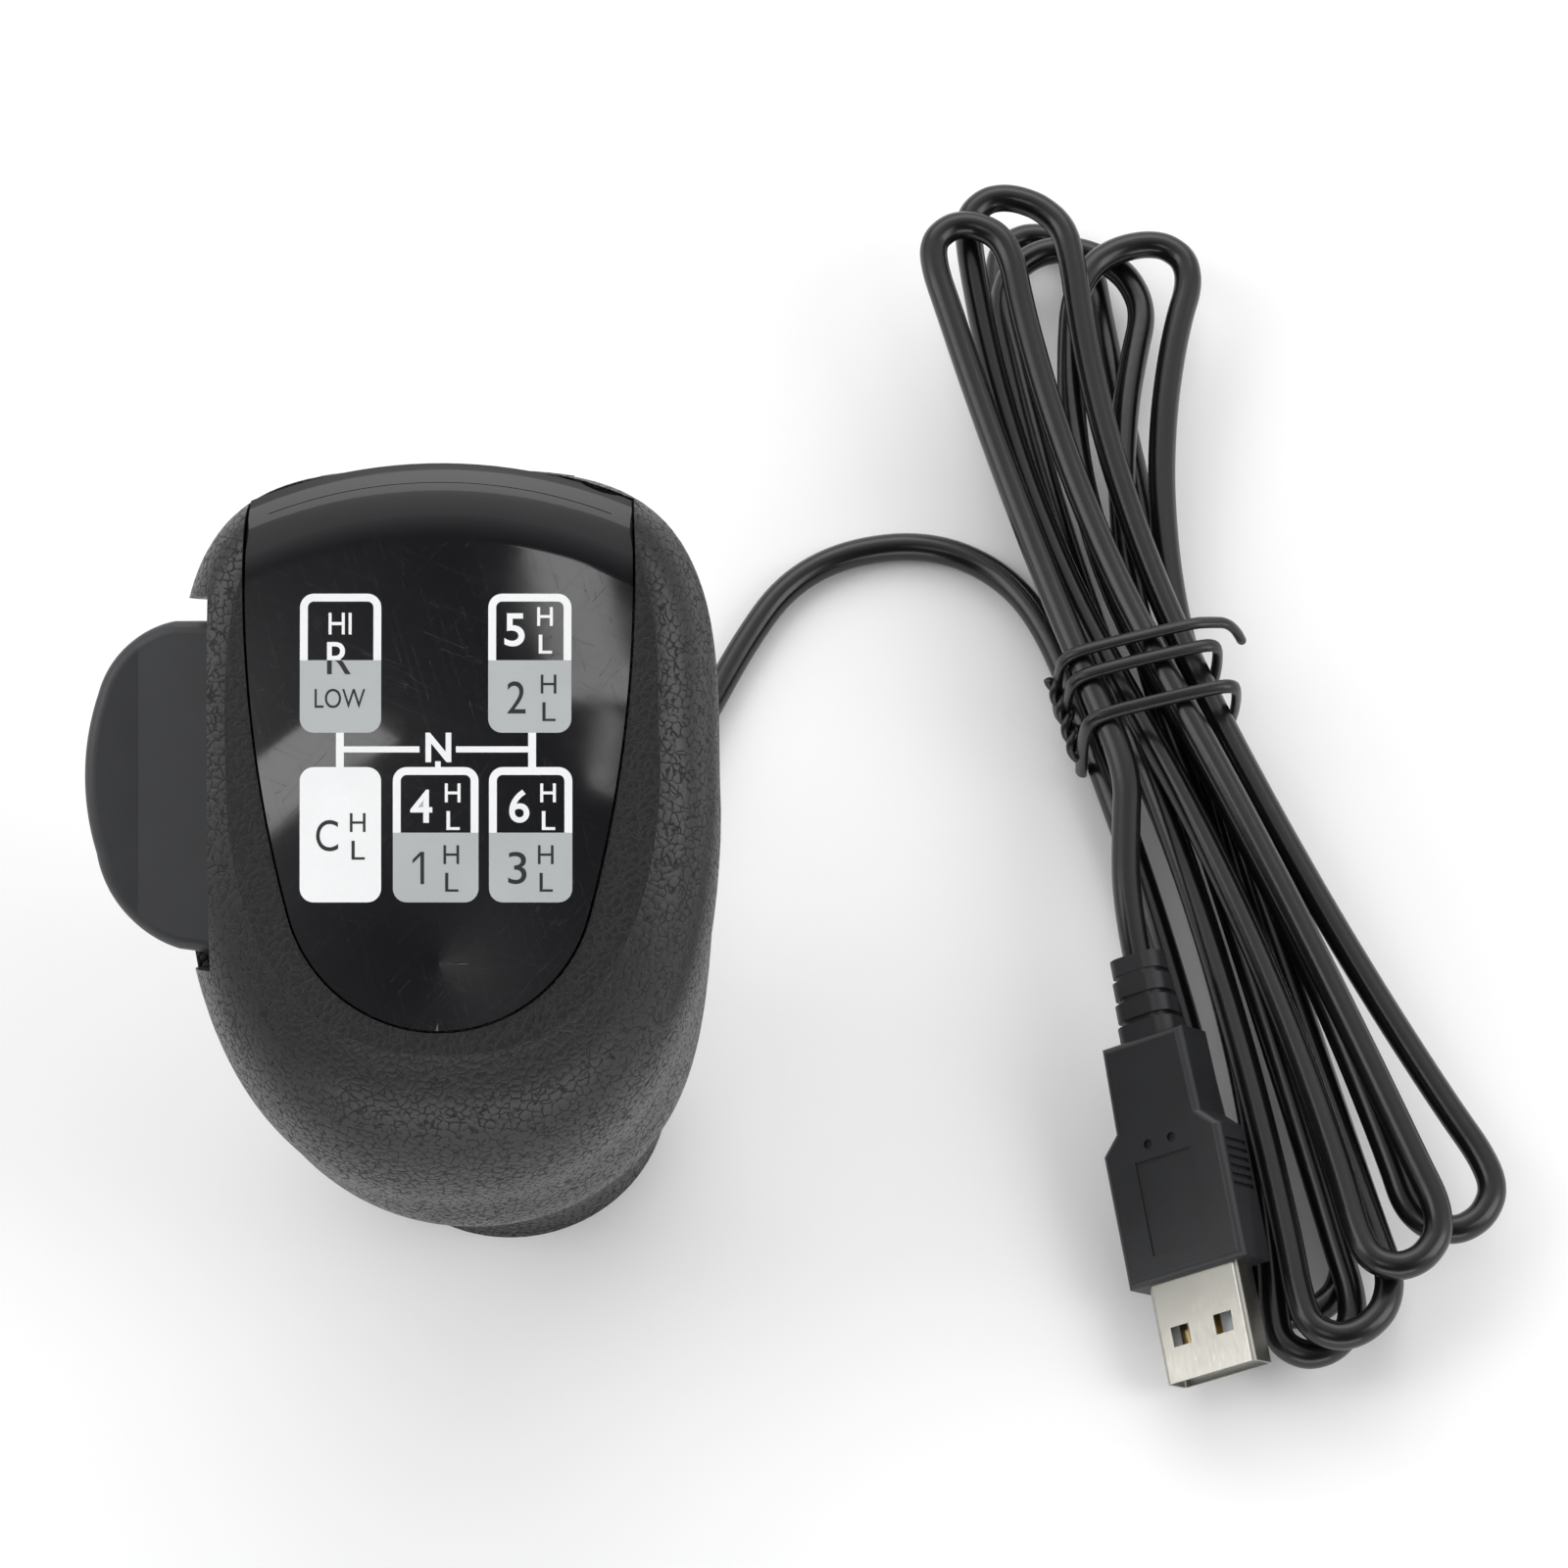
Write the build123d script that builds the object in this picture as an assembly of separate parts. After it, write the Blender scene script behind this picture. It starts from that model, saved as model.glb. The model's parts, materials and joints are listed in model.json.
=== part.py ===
"""A hand-held gear shift knob with a thumb paddle, a front flap and a tied USB lead.

Millimetres, +Z up. The origin is on the axis of the rod socket, on the flat foot of the neck.
+Y is the front of the knob, away from the driver, and the thumb paddle is on the -X side.

The head leans back towards the driver. Head coordinates start at the centre of its rim:
u runs to the right, v up the slope towards the front, and w out of the pattern plate.
"""
from build123d import *
from math import cos, dist, pi, radians, sin, sqrt, tan
import os

# Outer body
NECK_RADIUS = 18.8
HEAD_TILT = 25.0
RIM_CENTRE = Vector(-4.1, 5.3, 85.0)
HEAD_HALF_WIDTH = 29.9
WALL = 2.4
FOOT_THICKNESS = 3.0
PARTING_DEPTH = 22.0
SECTION_POINTS = 24

# Deck and pattern plate
PLATE_CENTRE_U = -0.4
PLATE_FRONT_RADIUS = 54.6
PLATE_FRONT_V = 32.0
PLATE_CORNER_U = 20.8
PLATE_JOINT_U = 16.2
PLATE_JOINT_V = -17.5
PLATE_REAR_V = -29.9
PLATE_GAP = 0.3
PLATE_DEPTH = 2.5
PLATE_CROWN = 0.4
LIP_DROP = 5.5
LIP_START = 46.0
LIP_THICKNESS = 2.2
DECK_THICKNESS = 2.3
DECK_UNDERSIDE = PLATE_DEPTH + DECK_THICKNESS

# Shell screws, through the deck posts into the lower shell
SHELL_SCREW_PLACES = ((-8.5, 12.0), (8.5, 12.0), (-7.0, -24.5), (7.0, -24.5))
SHELL_SCREW_SHAFT = 1.4
SHELL_SCREW_HEAD = 2.8
SHELL_SCREW_HEAD_HEIGHT = 1.8
SHELL_SCREW_REACH = 26.0
POST_RADIUS = 3.6
BOSS_DEPTH = 7.0
GUSSET_THICKNESS = 1.6

# Thumb paddle: its hinge lies along v
PADDLE_PIVOT_U = -17.0
PADDLE_PIVOT_W = -13.0
PADDLE_SWING = 10.0
PADDLE_FRONT_V = 15.0
PADDLE_REAR_V = -22.4
PADDLE_REACH_U = -40.7
PADDLE_THICKNESS = 5.0
PADDLE_EDGE = 1.4
PADDLE_TOP_DISH = 0.7
PADDLE_UNDER_TAPER = 1.2
PADDLE_HUB_RADIUS = 3.2
PADDLE_PIN_RADIUS = 1.25
PADDLE_ARM_WIDTH = 4.0
PADDLE_ARM_V = -1.5
SCOOP_U = -25.7
SCOOP_FRONT_V = 17.4
SCOOP_REAR_V = -23.6
SCOOP_DEPTH = 19.5
SLOT_CLEARANCE = 0.6
EAR_THICKNESS = 2.4

# Range flap: its hinge lies along u
FLAP_PIVOT_V = 26.6
FLAP_PIVOT_W = -11.5
FLAP_SWING = 10.0
FLAP_HALF_WIDTH = 14.0
FLAP_SIDE_GAP = 0.4
FLAP_TOP_W = -9.9
FLAP_TOP_GAP = 1.3
FLAP_FOOT_Z = 67.0
FLAP_FOLD_DEPTH = 15.5
FLAP_BACK_V = 16.2
FLAP_PROUD = 0.8
FLAP_HUB_RADIUS = 2.2
FLAP_PIN_RADIUS = 1.0
FLAP_ARM_WIDTH = 4.0
CHEEK_THICKNESS = 2.2

# Microswitches under the deck, each pressed by an arm
SWITCH_LENGTH = 12.8
SWITCH_DEPTH = 5.8
SWITCH_HEIGHT = 6.5
SWITCH_LEVER = 7.0
PLUNGER_RADIUS = 0.8
PLUNGER_FIT = 0.05
PLUNGER_LENGTH = 3.2
PLUNGER_GAP = 0.15
TERMINAL_LENGTH = 3.5
CRADLE_THICKNESS = 1.2

# Detents, one above each hub
DETENT_BALL_RADIUS = 1.4
DETENT_POST_RADIUS = 2.7
DETENT_GROOVE = 0.6
DETENT_GAP = 0.05
PADDLE_DETENT_V = 8.5
FLAP_DETENT_U = -9.0
DETENT_WIRE = 0.4

# Rod socket in the neck
ROD_BORE_RADIUS = 6.2
ROD_BORE_LENGTH = 34.0
BUSH_RADIUS = 9.0
BUSH_FLANGE_RADIUS = 10.8
BUSH_FLANGE_HEIGHT = 2.0
BUSH_HEIGHT = 36.0
NECK_TUBE_WALL = 2.5
SET_SCREW_RADIUS = 2.5
SET_SCREW_LENGTH = 8.0
SET_SCREW_Z = 20.0
SET_SCREW_ANGLES = (0.0, 120.0, 240.0)
SET_SCREW_ACCESS = 2.9

# Circuit board
USB_HEADER_SIZE = (7.0, 4.6, 4.0)
BUSH_HEADER_GAP = 1.4
BOARD_Z = BUSH_HEIGHT + BUSH_FLANGE_HEIGHT + BUSH_HEADER_GAP + USB_HEADER_SIZE[2]
BOARD_THICKNESS = 1.6
BOARD_HALF_WIDTH = 16.0
BOARD_REAR_Y = -11.5
BOARD_FRONT_Y = 15.5
BOARD_POST_CIRCLE = 14.0
BOARD_POST_RADIUS = 2.2
BOARD_POST_ANGLES = (25.0, 155.0, 205.0, 335.0)
BOARD_SCREW_SHAFT = 0.9
BOARD_SCREW_HEAD = 1.9
BOARD_SCREW_LENGTH = 6.0
RIB_THICKNESS = 1.6
RIB_TOP_Z = 30.0

# Cable entry in the neck wall
CORD_RADIUS = 1.75
ENTRY_ANGLE = 65.0
ENTRY_Z = 8.0
GROMMET_CORE_RADIUS = 3.0
GROMMET_FLANGE_RADIUS = 4.2
GROMMET_FLANGE_THICKNESS = 1.6
GROMMET_SEAT = 18.9
GROMMET_TIP = 26.0
WIRE_RADIUS = 0.5
WIRE_STEP = 1.2
WIRE_BEND = 2.1

# Cord: the free stretches' routes, chosen by hand
LEAD_POINTS = (
    (18.6, 40.3, 4.6), (23.2, 50.5, 1.9), (27.8, 60.0, 1.85), (33.2, 68.5, 1.85), (41.0, 73.2, 1.85),
    (51.5, 74.4, 1.85), (60.5, 70.0, 2.4),
)
TAIL_POINT = (74.6, 28.9, 15.2)
LEAD_FIRST_RUN = 8.0
CORD_END_RUN = 6.0

# Hank: its legs lie in columns and layers at the waist, and its loops fan out from there
HANK_WAIST = Vector(77.6, 48.8, 3.75)
HANK_SLANT = 14.0
HANK_COLUMN_STEP = 4.6
HANK_LAYER_STEP = 4.05
# Each leg's column from the middle, its layer, its lean from the hank's axis and its climb, in degrees
HANK_LEGS = (
    (-1.5, 0, 4.0, 0.0), (1.5, 0, -1.5, -0.5), (-0.5, 0, 8.0, 1.5), (0.5, 1, 2.0, -1.0), (-0.5, 1, 4.5, 1.5),
    (1.5, 1, 0.5, -1.0), (0.5, 2, 13.0, 1.0), (1.5, 2, 9.0, -2.0), (-0.5, 2, 12.5, 1.0), (0.5, 3, 11.0, 1.0),
    (-1.5, 3, 6.0, 0.0),
)
# Each loop's tip, how it is turned in degrees, and how wide it is on the way in and out
HANK_TIPS = (
    (Vector(95.5, -29.0, 1.75), 16.0, 6.0, 6.0), (Vector(66.5, 119.5, 1.75), -9.0, 6.0, 6.0),
    (Vector(96.5, -35.5, 6.0), 19.0, 5.5, 5.5), (Vector(70.5, 115.0, 6.0), -9.0, 11.0, 11.0),
    (Vector(100.0, -34.5, 10.0), 21.0, 5.5, 6.5), (Vector(80.5, 113.5, 10.0), -2.0, 6.0, 9.0),
    (Vector(114.5, -20.5, 9.0), 29.0, 6.5, 6.0), (Vector(61.0, 117.0, 15.8), 0.0, 8.0, 5.0),
    (Vector(107.0, -27.0, 13.8), 26.0, 5.5, 5.5), (Vector(56.0, 111.0, 19.2), 0.0, 5.0, 5.5),
)

# Twist tie: three wraps down the waist, each as far along it as named here
TIE_RADIUS = 0.8
TIE_GAP = 0.3
TIE_WRAPS = (4.4, 1.4, -4.4)
TIE_END_LENGTH = 7.0
TIE_BEND = 2.4

# Plug: it lies on its side edge, turned about its own axis
PLUG_SHOULDER = Vector(79.4, -9.8, 10.9)
PLUG_ALONG = Vector(2.9, -16.9, -2.0).normalized()
PLUG_ROLL = 33.0
OVERMOLD_WIDTH = 16.0
OVERMOLD_THICKNESS = 7.4
OVERMOLD_LENGTH = 17.5
OVERMOLD_NECK_WIDTH = 11.6
OVERMOLD_NECK_LENGTH = 11.8
OVERMOLD_EDGE = 0.9
PANEL_WIDTH = 7.6
PANEL_LENGTH = 11.5
PANEL_DEPTH = 0.25
RELIEF_LENGTH = 10.5
RELIEF_COLLAR = (7.4, 5.8)
RELIEF_CORE = (5.6, 4.8)
RELIEF_COLLARS = 3
RELIEF_COLLAR_LENGTH = 2.1
SHELL_WIDTH = 12.0
SHELL_THICKNESS = 4.5
SHELL_EXPOSED = 12.0
SHELL_HELD = 6.0
SHELL_SHEET = 0.3
SHELL_WINDOW = 2.4
SHELL_WINDOW_SPACING = 5.8
SHELL_WINDOW_SETBACK = 5.3
TONGUE_THICKNESS = 1.8
TONGUE_SETBACK = 1.0
CONTACT_WIDTH = 1.0
CONTACT_THICKNESS = 0.2
CONTACT_PLACES = (-3.5, -1.0, 1.0, 3.5)

# Fits
FIT_GAP = 0.05

CENTRE_X = RIM_CENTRE.X
HEAD = Plane(origin=RIM_CENTRE, x_dir=(1, 0, 0), z_dir=(0, -sin(radians(HEAD_TILT)), cos(radians(HEAD_TILT))))


def head_point(u, v, w):
    """A point given in head coordinates, in the part's own frame."""
    return HEAD.from_local_coords(Vector(u, v, w))


def in_head(shape):
    """Carry a shape drawn in head coordinates into the part's own frame."""
    return HEAD.location * shape


def box_between(low, high):
    """A box from its low corner to its high corner."""
    low = Vector(*low)
    high = Vector(*high)
    size = high - low
    return Pos(*((low + high) * 0.5)) * Box(size.X, size.Y, size.Z)


def head_box(low, high):
    """A box from corner to corner, in head coordinates."""
    return in_head(box_between(low, high))


def rod(radius, start, end):
    """A round bar between two points."""
    start = Vector(*start)
    end = Vector(*end)
    axis = Plane(origin=start, z_dir=end - start)
    return extrude(axis * Circle(radius), (end - start).length)


def head_rod(radius, start, end):
    """A round bar between two points given in head coordinates."""
    return rod(radius, head_point(*start), head_point(*end))


def fuse(shapes):
    """Join a list of touching shapes into one."""
    result = shapes[0]
    for shape in shapes[1:]:
        result = result + shape
    return result


# The outer body


def section(centre_x, rear, front, half_width, widest, squareness, inset):
    """One closed cross-section, on the plane through its rear and front points.

    widest is the share of the length, from the rear, at which the section is widest.
    squareness is 2 for an ellipse, and more for a fuller front.
    """
    rear = Vector(centre_x, *rear)
    front = Vector(centre_x, *front)
    length = (front - rear).length
    along = (front - rear).normalized()
    middle = rear + along * (length * widest)
    plane = Plane(origin=middle, x_dir=(1, 0, 0), z_dir=Vector(1, 0, 0).cross(along))
    points = []
    for i in range(SECTION_POINTS):
        angle = 2 * pi * i / SECTION_POINTS
        across, ahead = cos(angle), sin(angle)
        at_front = ahead > 0
        reach = length * (1 - widest if at_front else widest) - inset
        power = 2 / (squareness if at_front else 2 + (squareness - 2) * 0.25)
        x = (half_width - inset) * abs(across) ** power * (1 if across >= 0 else -1)
        y = reach * abs(ahead) ** power * (1 if ahead >= 0 else -1)
        points.append(plane.from_local_coords(Vector(x, y, 0)))
    return Face(Wire(Edge.make_spline(points, periodic=True)))


def in_head_plane(v, w):
    """The (y, z) place of a point on the head's middle plane."""
    point = head_point(0, v, w)
    return (point.Y, point.Z)


def body_loft(inset, foot):
    """The smooth body from the foot to the rim, with every section pulled in by inset."""
    radius = NECK_RADIUS
    wide = HEAD_HALF_WIDTH
    x = CENTRE_X
    rows = [
        (0.0, (-radius, foot), (radius, foot), radius, 0.5, 2.0),
        (0.0, (-radius - 0.2, foot + 6.0), (radius, foot + 6.0), radius + 0.2, 0.5, 2.0),
        (x * 0.2, (-radius - 3.8, 17.0), (radius + 0.4, 18.5), radius + 2.8, 0.5, 2.0),
        (x * 0.63, (-28.6, 30.0), (21.6, 36.0), wide - 4.1, 0.52, 2.1),
        (x * 0.85, (-30.7, 38.5), (28.0, 56.0), wide - 1.7, 0.54, 2.4),
        (x * 1.02, in_head_plane(-50.0, -20.0), (33.2, 76.0), wide - 0.2, 0.57, 3.1),
        (x, in_head_plane(-47.0, -11.0), in_head_plane(31.1, -9.0), wide, 0.565, 3.5),
        (x, in_head_plane(-42.6, -5.0), in_head_plane(30.9, -4.2), wide - 1.3, 0.555, 3.6),
        (x, in_head_plane(-38.0, -2.0), in_head_plane(30.4, -1.5), wide - 3.3, 0.545, 3.6),
        (x, in_head_plane(-32.6, 0.0), in_head_plane(29.2, 0.0), wide - 6.3, 0.53, 3.5),
    ]
    return loft([section(*row, inset) for row in rows])


# The pattern plate


def plate_outline(grow):
    """The plate's shield outline in head coordinates, grown all round, with a round rear."""
    drop = PLATE_JOINT_V - PLATE_REAR_V
    rear_radius = (PLATE_JOINT_U ** 2 + drop ** 2) / (2 * drop)
    joint_normal = Vector(PLATE_JOINT_U, drop - rear_radius) / rear_radius
    joint = Vector(PLATE_JOINT_U, PLATE_JOINT_V)
    corner = Vector(PLATE_CORNER_U, plate_corner_v())
    leaving = Vector(-joint_normal.Y, joint_normal.X)
    chord = (corner - joint).normalized()
    arriving = chord * 2 * chord.dot(leaving) - leaving
    side_normal = Vector(arriving.Y, -arriving.X)
    front_normal = (corner - Vector(0, PLATE_FRONT_V - PLATE_FRONT_RADIUS)).normalized()
    corner += (side_normal + front_normal) * (grow / (1 + side_normal.dot(front_normal)))
    joint += joint_normal * grow
    right = TangentArc(joint, corner, tangent=leaving)
    left = mirror(right, Plane.YZ)
    front = ThreePointArc(right @ 1, (0, PLATE_FRONT_V + grow), left @ 1)
    rear = ThreePointArc(left @ 0, (0, PLATE_REAR_V - grow), right @ 0)
    return Pos(PLATE_CENTRE_U, 0, 0) * make_face([right, front, left, rear])


def plate_corner_v():
    """The v of the plate's front corners, which lie on the front arc."""
    return PLATE_FRONT_V - PLATE_FRONT_RADIUS + sqrt(PLATE_FRONT_RADIUS ** 2 - PLATE_CORNER_U ** 2)


def plate_prism(grow, low, high):
    """A prism over the plate's outline, grown by a gap, between two heights in w."""
    return in_head(Pos(0, 0, low) * extrude(plate_outline(grow), high - low, dir=(0, 0, 1)))


def plate_dome():
    """The plate's crowned top and turned-down front lip, spun about the centre of the front arc."""
    edge = PLATE_FRONT_RADIUS + 0.6
    top = ThreePointArc((0, 0.1), (LIP_START / 2, PLATE_CROWN), (LIP_START, -0.3))
    lip = TangentArc((LIP_START, -0.3), (edge, -LIP_DROP), tangent=(1, -0.04))
    inner = LIP_START + 2.0
    base = Polyline((edge, -LIP_DROP), (inner, -LIP_DROP), (inner, -PLATE_DEPTH), (0, -PLATE_DEPTH), (0, 0.1))
    profile = Plane.XZ * make_face([top, lip, base])
    spun = revolve(profile, Axis.Z)
    return in_head(Pos(PLATE_CENTRE_U, PLATE_FRONT_V - PLATE_FRONT_RADIUS, 0) * spun)


def pattern_plate():
    """The glossy plate: a shield with a crowned top and a thin lip bent over the front edge."""
    plate = plate_prism(0, -LIP_DROP - 1, 3) & plate_dome()
    return plate - plate_prism(-LIP_THICKNESS, -LIP_DROP - 1, -PLATE_DEPTH)


def plate_rebate():
    """The space that the plate drops into, with the gap round it and under its lip."""
    bottom = -LIP_DROP - PLATE_GAP
    floor = plate_prism(PLATE_GAP, -PLATE_DEPTH, 6)
    lip = plate_prism(PLATE_GAP, bottom, -PLATE_DEPTH + 0.01)
    lip -= plate_prism(-LIP_THICKNESS - PLATE_GAP, bottom - 1, 1)
    front = head_box((-40, LIP_START + PLATE_FRONT_V - PLATE_FRONT_RADIUS - 5.0, bottom), (40, 60, 6))
    return floor + (lip & front)


# The two grip shells


def scoop(grow):
    """The finger scoop in the left flank, over the paddle, grown by a wall where that is asked."""
    low = (-60, SCOOP_REAR_V - grow, -SCOOP_DEPTH - grow)
    high = (SCOOP_U + grow, SCOOP_FRONT_V + grow, 20)
    return head_box(low, high)


def paddle_slot():
    """The slot in the scoop's wall that the paddle swings in."""
    rise = (PADDLE_PIVOT_U - SCOOP_U + WALL) * sin(radians(PADDLE_SWING / 2))
    half = PADDLE_THICKNESS / 2 + rise + SLOT_CLEARANCE
    low = (SCOOP_U - 1, PADDLE_REAR_V - SLOT_CLEARANCE, PADDLE_PIVOT_W - half)
    high = (SCOOP_U + WALL + 1, PADDLE_FRONT_V + SLOT_CLEARANCE, PADDLE_PIVOT_W + half)
    return head_box(low, high)


def flap_window():
    """The window in the front wall, through both shells, that the flap fills."""
    half = FLAP_HALF_WIDTH + FLAP_SIDE_GAP
    top = FLAP_TOP_W + FLAP_TOP_GAP
    upper = head_box((-half, FLAP_PIVOT_V - 6.6, -FLAP_FOLD_DEPTH), (half, 60, top))
    upper += head_box((-half, FLAP_BACK_V, -PARTING_DEPTH - 0.01), (half, 60, -FLAP_FOLD_DEPTH + 0.01))
    upper -= box_between((-100, -100, 0), (100, 100, FLAP_FOOT_Z - FLAP_SIDE_GAP))
    lower = box_between((CENTRE_X - half, 20, FLAP_FOOT_Z - FLAP_SIDE_GAP), (CENTRE_X + half, 70, 78))
    lower &= head_box((-half, -100, -80), (half, 100, -PARTING_DEPTH))
    return upper + lower


def paddle_ears():
    """The two ears that hang from the deck and carry the paddle's pin."""
    ears = []
    half = PADDLE_HUB_RADIUS + 0.2
    for low in (PADDLE_REAR_V - 0.5, PADDLE_FRONT_V - 1.0):
        ear = head_box((PADDLE_PIVOT_U - half, low, PADDLE_PIVOT_W),
                       (PADDLE_PIVOT_U + half, low + EAR_THICKNESS, -DECK_UNDERSIDE + 0.01))
        rear_end = (PADDLE_PIVOT_U, low, PADDLE_PIVOT_W)
        front_end = (PADDLE_PIVOT_U, low + EAR_THICKNESS, PADDLE_PIVOT_W)
        ear += head_rod(half, rear_end, front_end)
        ears.append(ear)
    return ears


def flap_cheeks():
    """The two cheeks beside the window that carry the flap's pin."""
    cheeks = []
    start = FLAP_HALF_WIDTH + FLAP_SIDE_GAP
    for side in (-1, 1):
        near, far = sorted((side * start, side * (start + CHEEK_THICKNESS)))
        cheeks.append(head_box((near, FLAP_PIVOT_V - 3.6, FLAP_PIVOT_W - 3.2),
                               (far, FLAP_PIVOT_V + 3.0, -DECK_UNDERSIDE + 0.01)))
    return cheeks


def detent_post(u, v, pivot_w, hub_radius):
    """A post above a hub, down to just clear of it."""
    bottom = pivot_w + hub_radius + 0.3
    return head_rod(DETENT_POST_RADIUS, (u, v, bottom), (u, v, -DECK_UNDERSIDE + 0.01))


def switch_cradle(low, high, along_v):
    """Two small walls under the deck that hold a switch body by its ends."""
    low_u, low_v = low
    high_u, high_v = high
    top = -DECK_UNDERSIDE + 0.01
    bottom = -DECK_UNDERSIDE - SWITCH_HEIGHT * 0.6
    t = CRADLE_THICKNESS
    if along_v:
        return [head_box((low_u, low_v - t, bottom), (high_u, low_v, top)),
                head_box((low_u, high_v, bottom), (high_u, high_v + t, top))]
    return [head_box((low_u - t, low_v, bottom), (low_u, high_v, top)),
            head_box((high_u, low_v, bottom), (high_u + t, high_v, top))]


PADDLE_SWITCH_U = PADDLE_PIVOT_U + SWITCH_LEVER
PADDLE_SWITCH_LOW = (PADDLE_SWITCH_U - SWITCH_DEPTH / 2, PADDLE_ARM_V - SWITCH_LENGTH / 2)
PADDLE_SWITCH_HIGH = (PADDLE_SWITCH_U + SWITCH_DEPTH / 2, PADDLE_ARM_V + SWITCH_LENGTH / 2)
RANGE_SWITCH_V = FLAP_PIVOT_V - SWITCH_LEVER
RANGE_SWITCH_LOW = (-SWITCH_LENGTH / 2, RANGE_SWITCH_V - SWITCH_DEPTH / 2)
RANGE_SWITCH_HIGH = (SWITCH_LENGTH / 2, RANGE_SWITCH_V + SWITCH_DEPTH / 2)
SWITCH_UNDERSIDE = -DECK_UNDERSIDE - SWITCH_HEIGHT


def upper_grip_shell(outer, inner):
    """The upper half of the grip, with its deck, scoop, posts, ears and cheeks."""
    shell = outer & head_box((-80, -90, -PARTING_DEPTH), (80, 90, 20))
    hollow = inner & head_box((-80, -90, -PARTING_DEPTH - 1), (80, 90, -DECK_UNDERSIDE))
    hollow -= scoop(WALL)
    lintel_v = PLATE_FRONT_V - LIP_THICKNESS - 2 * PLATE_GAP - WALL
    lintel_bottom = FLAP_TOP_W + FLAP_TOP_GAP
    hollow -= head_box((-80, lintel_v, lintel_bottom), (80, 90, 0))
    shell = shell - hollow - scoop(0) - paddle_slot() - flap_window()
    inside = [*paddle_ears(), *flap_cheeks()]
    inside.append(detent_post(PADDLE_PIVOT_U, PADDLE_DETENT_V, PADDLE_PIVOT_W, PADDLE_HUB_RADIUS))
    inside.append(detent_post(FLAP_DETENT_U, FLAP_PIVOT_V, FLAP_PIVOT_W, FLAP_HUB_RADIUS))
    inside += switch_cradle(PADDLE_SWITCH_LOW, PADDLE_SWITCH_HIGH, True)
    inside += switch_cradle(RANGE_SWITCH_LOW, RANGE_SWITCH_HIGH, False)
    for u, v in SHELL_SCREW_PLACES:
        inside.append(head_rod(POST_RADIUS, (u, v, -PARTING_DEPTH), (u, v, -DECK_UNDERSIDE + 0.01)))
    shell = (fuse([shell] + inside) & outer) - plate_rebate()
    for u, v in SHELL_SCREW_PLACES:
        head_floor = -PLATE_DEPTH - SHELL_SCREW_HEAD_HEIGHT - 0.1
        shell -= head_rod(SHELL_SCREW_SHAFT + 0.2, (u, v, -PARTING_DEPTH - 1), (u, v, 0))
        shell -= head_rod(SHELL_SCREW_HEAD + 0.2, (u, v, head_floor), (u, v, 0))
    shell -= head_rod(PADDLE_PIN_RADIUS, *paddle_pin_ends())
    shell -= head_rod(FLAP_PIN_RADIUS, *flap_pin_ends())
    shell -= detent_bore(PADDLE_PIVOT_U, PADDLE_DETENT_V, PADDLE_PIVOT_W)
    shell -= detent_bore(FLAP_DETENT_U, FLAP_PIVOT_V, FLAP_PIVOT_W)
    return shell


def lower_grip_shell(outer, inner):
    """The lower half of the grip with the neck, its socket tube, ribs, posts and bosses."""
    shell = outer & head_box((-80, -90, -200), (80, 90, -PARTING_DEPTH))
    hollow = inner & head_box((-80, -90, -200), (80, 90, -PARTING_DEPTH + 1))
    shell = shell - hollow
    tube_radius = BUSH_RADIUS + NECK_TUBE_WALL
    inside = [rod(tube_radius, (0, 0, 0), (0, 0, BUSH_HEIGHT))]
    for angle in BOARD_POST_ANGLES:
        inside.append(board_post(angle))
        inside.append(neck_rib(angle))
    for u, v in SHELL_SCREW_PLACES:
        bottom = -PARTING_DEPTH - BOSS_DEPTH
        inside.append(head_rod(POST_RADIUS - 0.4, (u, v, bottom), (u, v, -PARTING_DEPTH)))
        near, far = (v, v + 16) if v > 0 else (v - 32, v)
        half = GUSSET_THICKNESS / 2
        inside.append(head_box((u - half, near, bottom), (u + half, far, -PARTING_DEPTH)))
    shell = fuse([shell] + inside) & outer
    shell -= flap_window()
    shell -= rod(BUSH_RADIUS, (0, 0, -1), (0, 0, BUSH_HEIGHT + 1))
    for u, v in SHELL_SCREW_PLACES:
        shell -= head_rod(SHELL_SCREW_SHAFT, (u, v, -SHELL_SCREW_REACH - 0.6), (u, v, -PARTING_DEPTH + 1))
    for angle in BOARD_POST_ANGLES:
        x, y = polar(BOARD_POST_CIRCLE, angle)
        shell -= rod(BOARD_SCREW_SHAFT, (x, y, BOARD_Z - BOARD_SCREW_LENGTH), (x, y, BOARD_Z + 1))
    for angle in SET_SCREW_ANGLES:
        shell -= radial_rod(SET_SCREW_RADIUS + FIT_GAP, angle, SET_SCREW_Z, 0, tube_radius + 0.5)
        shell -= radial_rod(SET_SCREW_ACCESS, angle, SET_SCREW_Z, tube_radius + 0.4, 40)
    shell -= radial_rod(GROMMET_CORE_RADIUS, ENTRY_ANGLE, ENTRY_Z, tube_radius + 1, 40)
    shell -= radial_rod(GROMMET_FLANGE_RADIUS + FIT_GAP, ENTRY_ANGLE, ENTRY_Z, GROMMET_SEAT, 40)
    return shell


def polar(radius, angle):
    """The (x, y) place at a radius and an angle from +X, in degrees."""
    return (radius * cos(radians(angle)), radius * sin(radians(angle)))


def radial_rod(radius, angle, z, start, end):
    """A bar that points straight out of the neck's axis."""
    return rod(radius, (*polar(start, angle), z), (*polar(end, angle), z))


def board_post(angle):
    """A post that rises from the foot, between tube and wall, to carry the board."""
    x, y = polar(BOARD_POST_CIRCLE, angle)
    return rod(BOARD_POST_RADIUS, (x, y, FOOT_THICKNESS - 0.5), (x, y, BOARD_Z))


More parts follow.
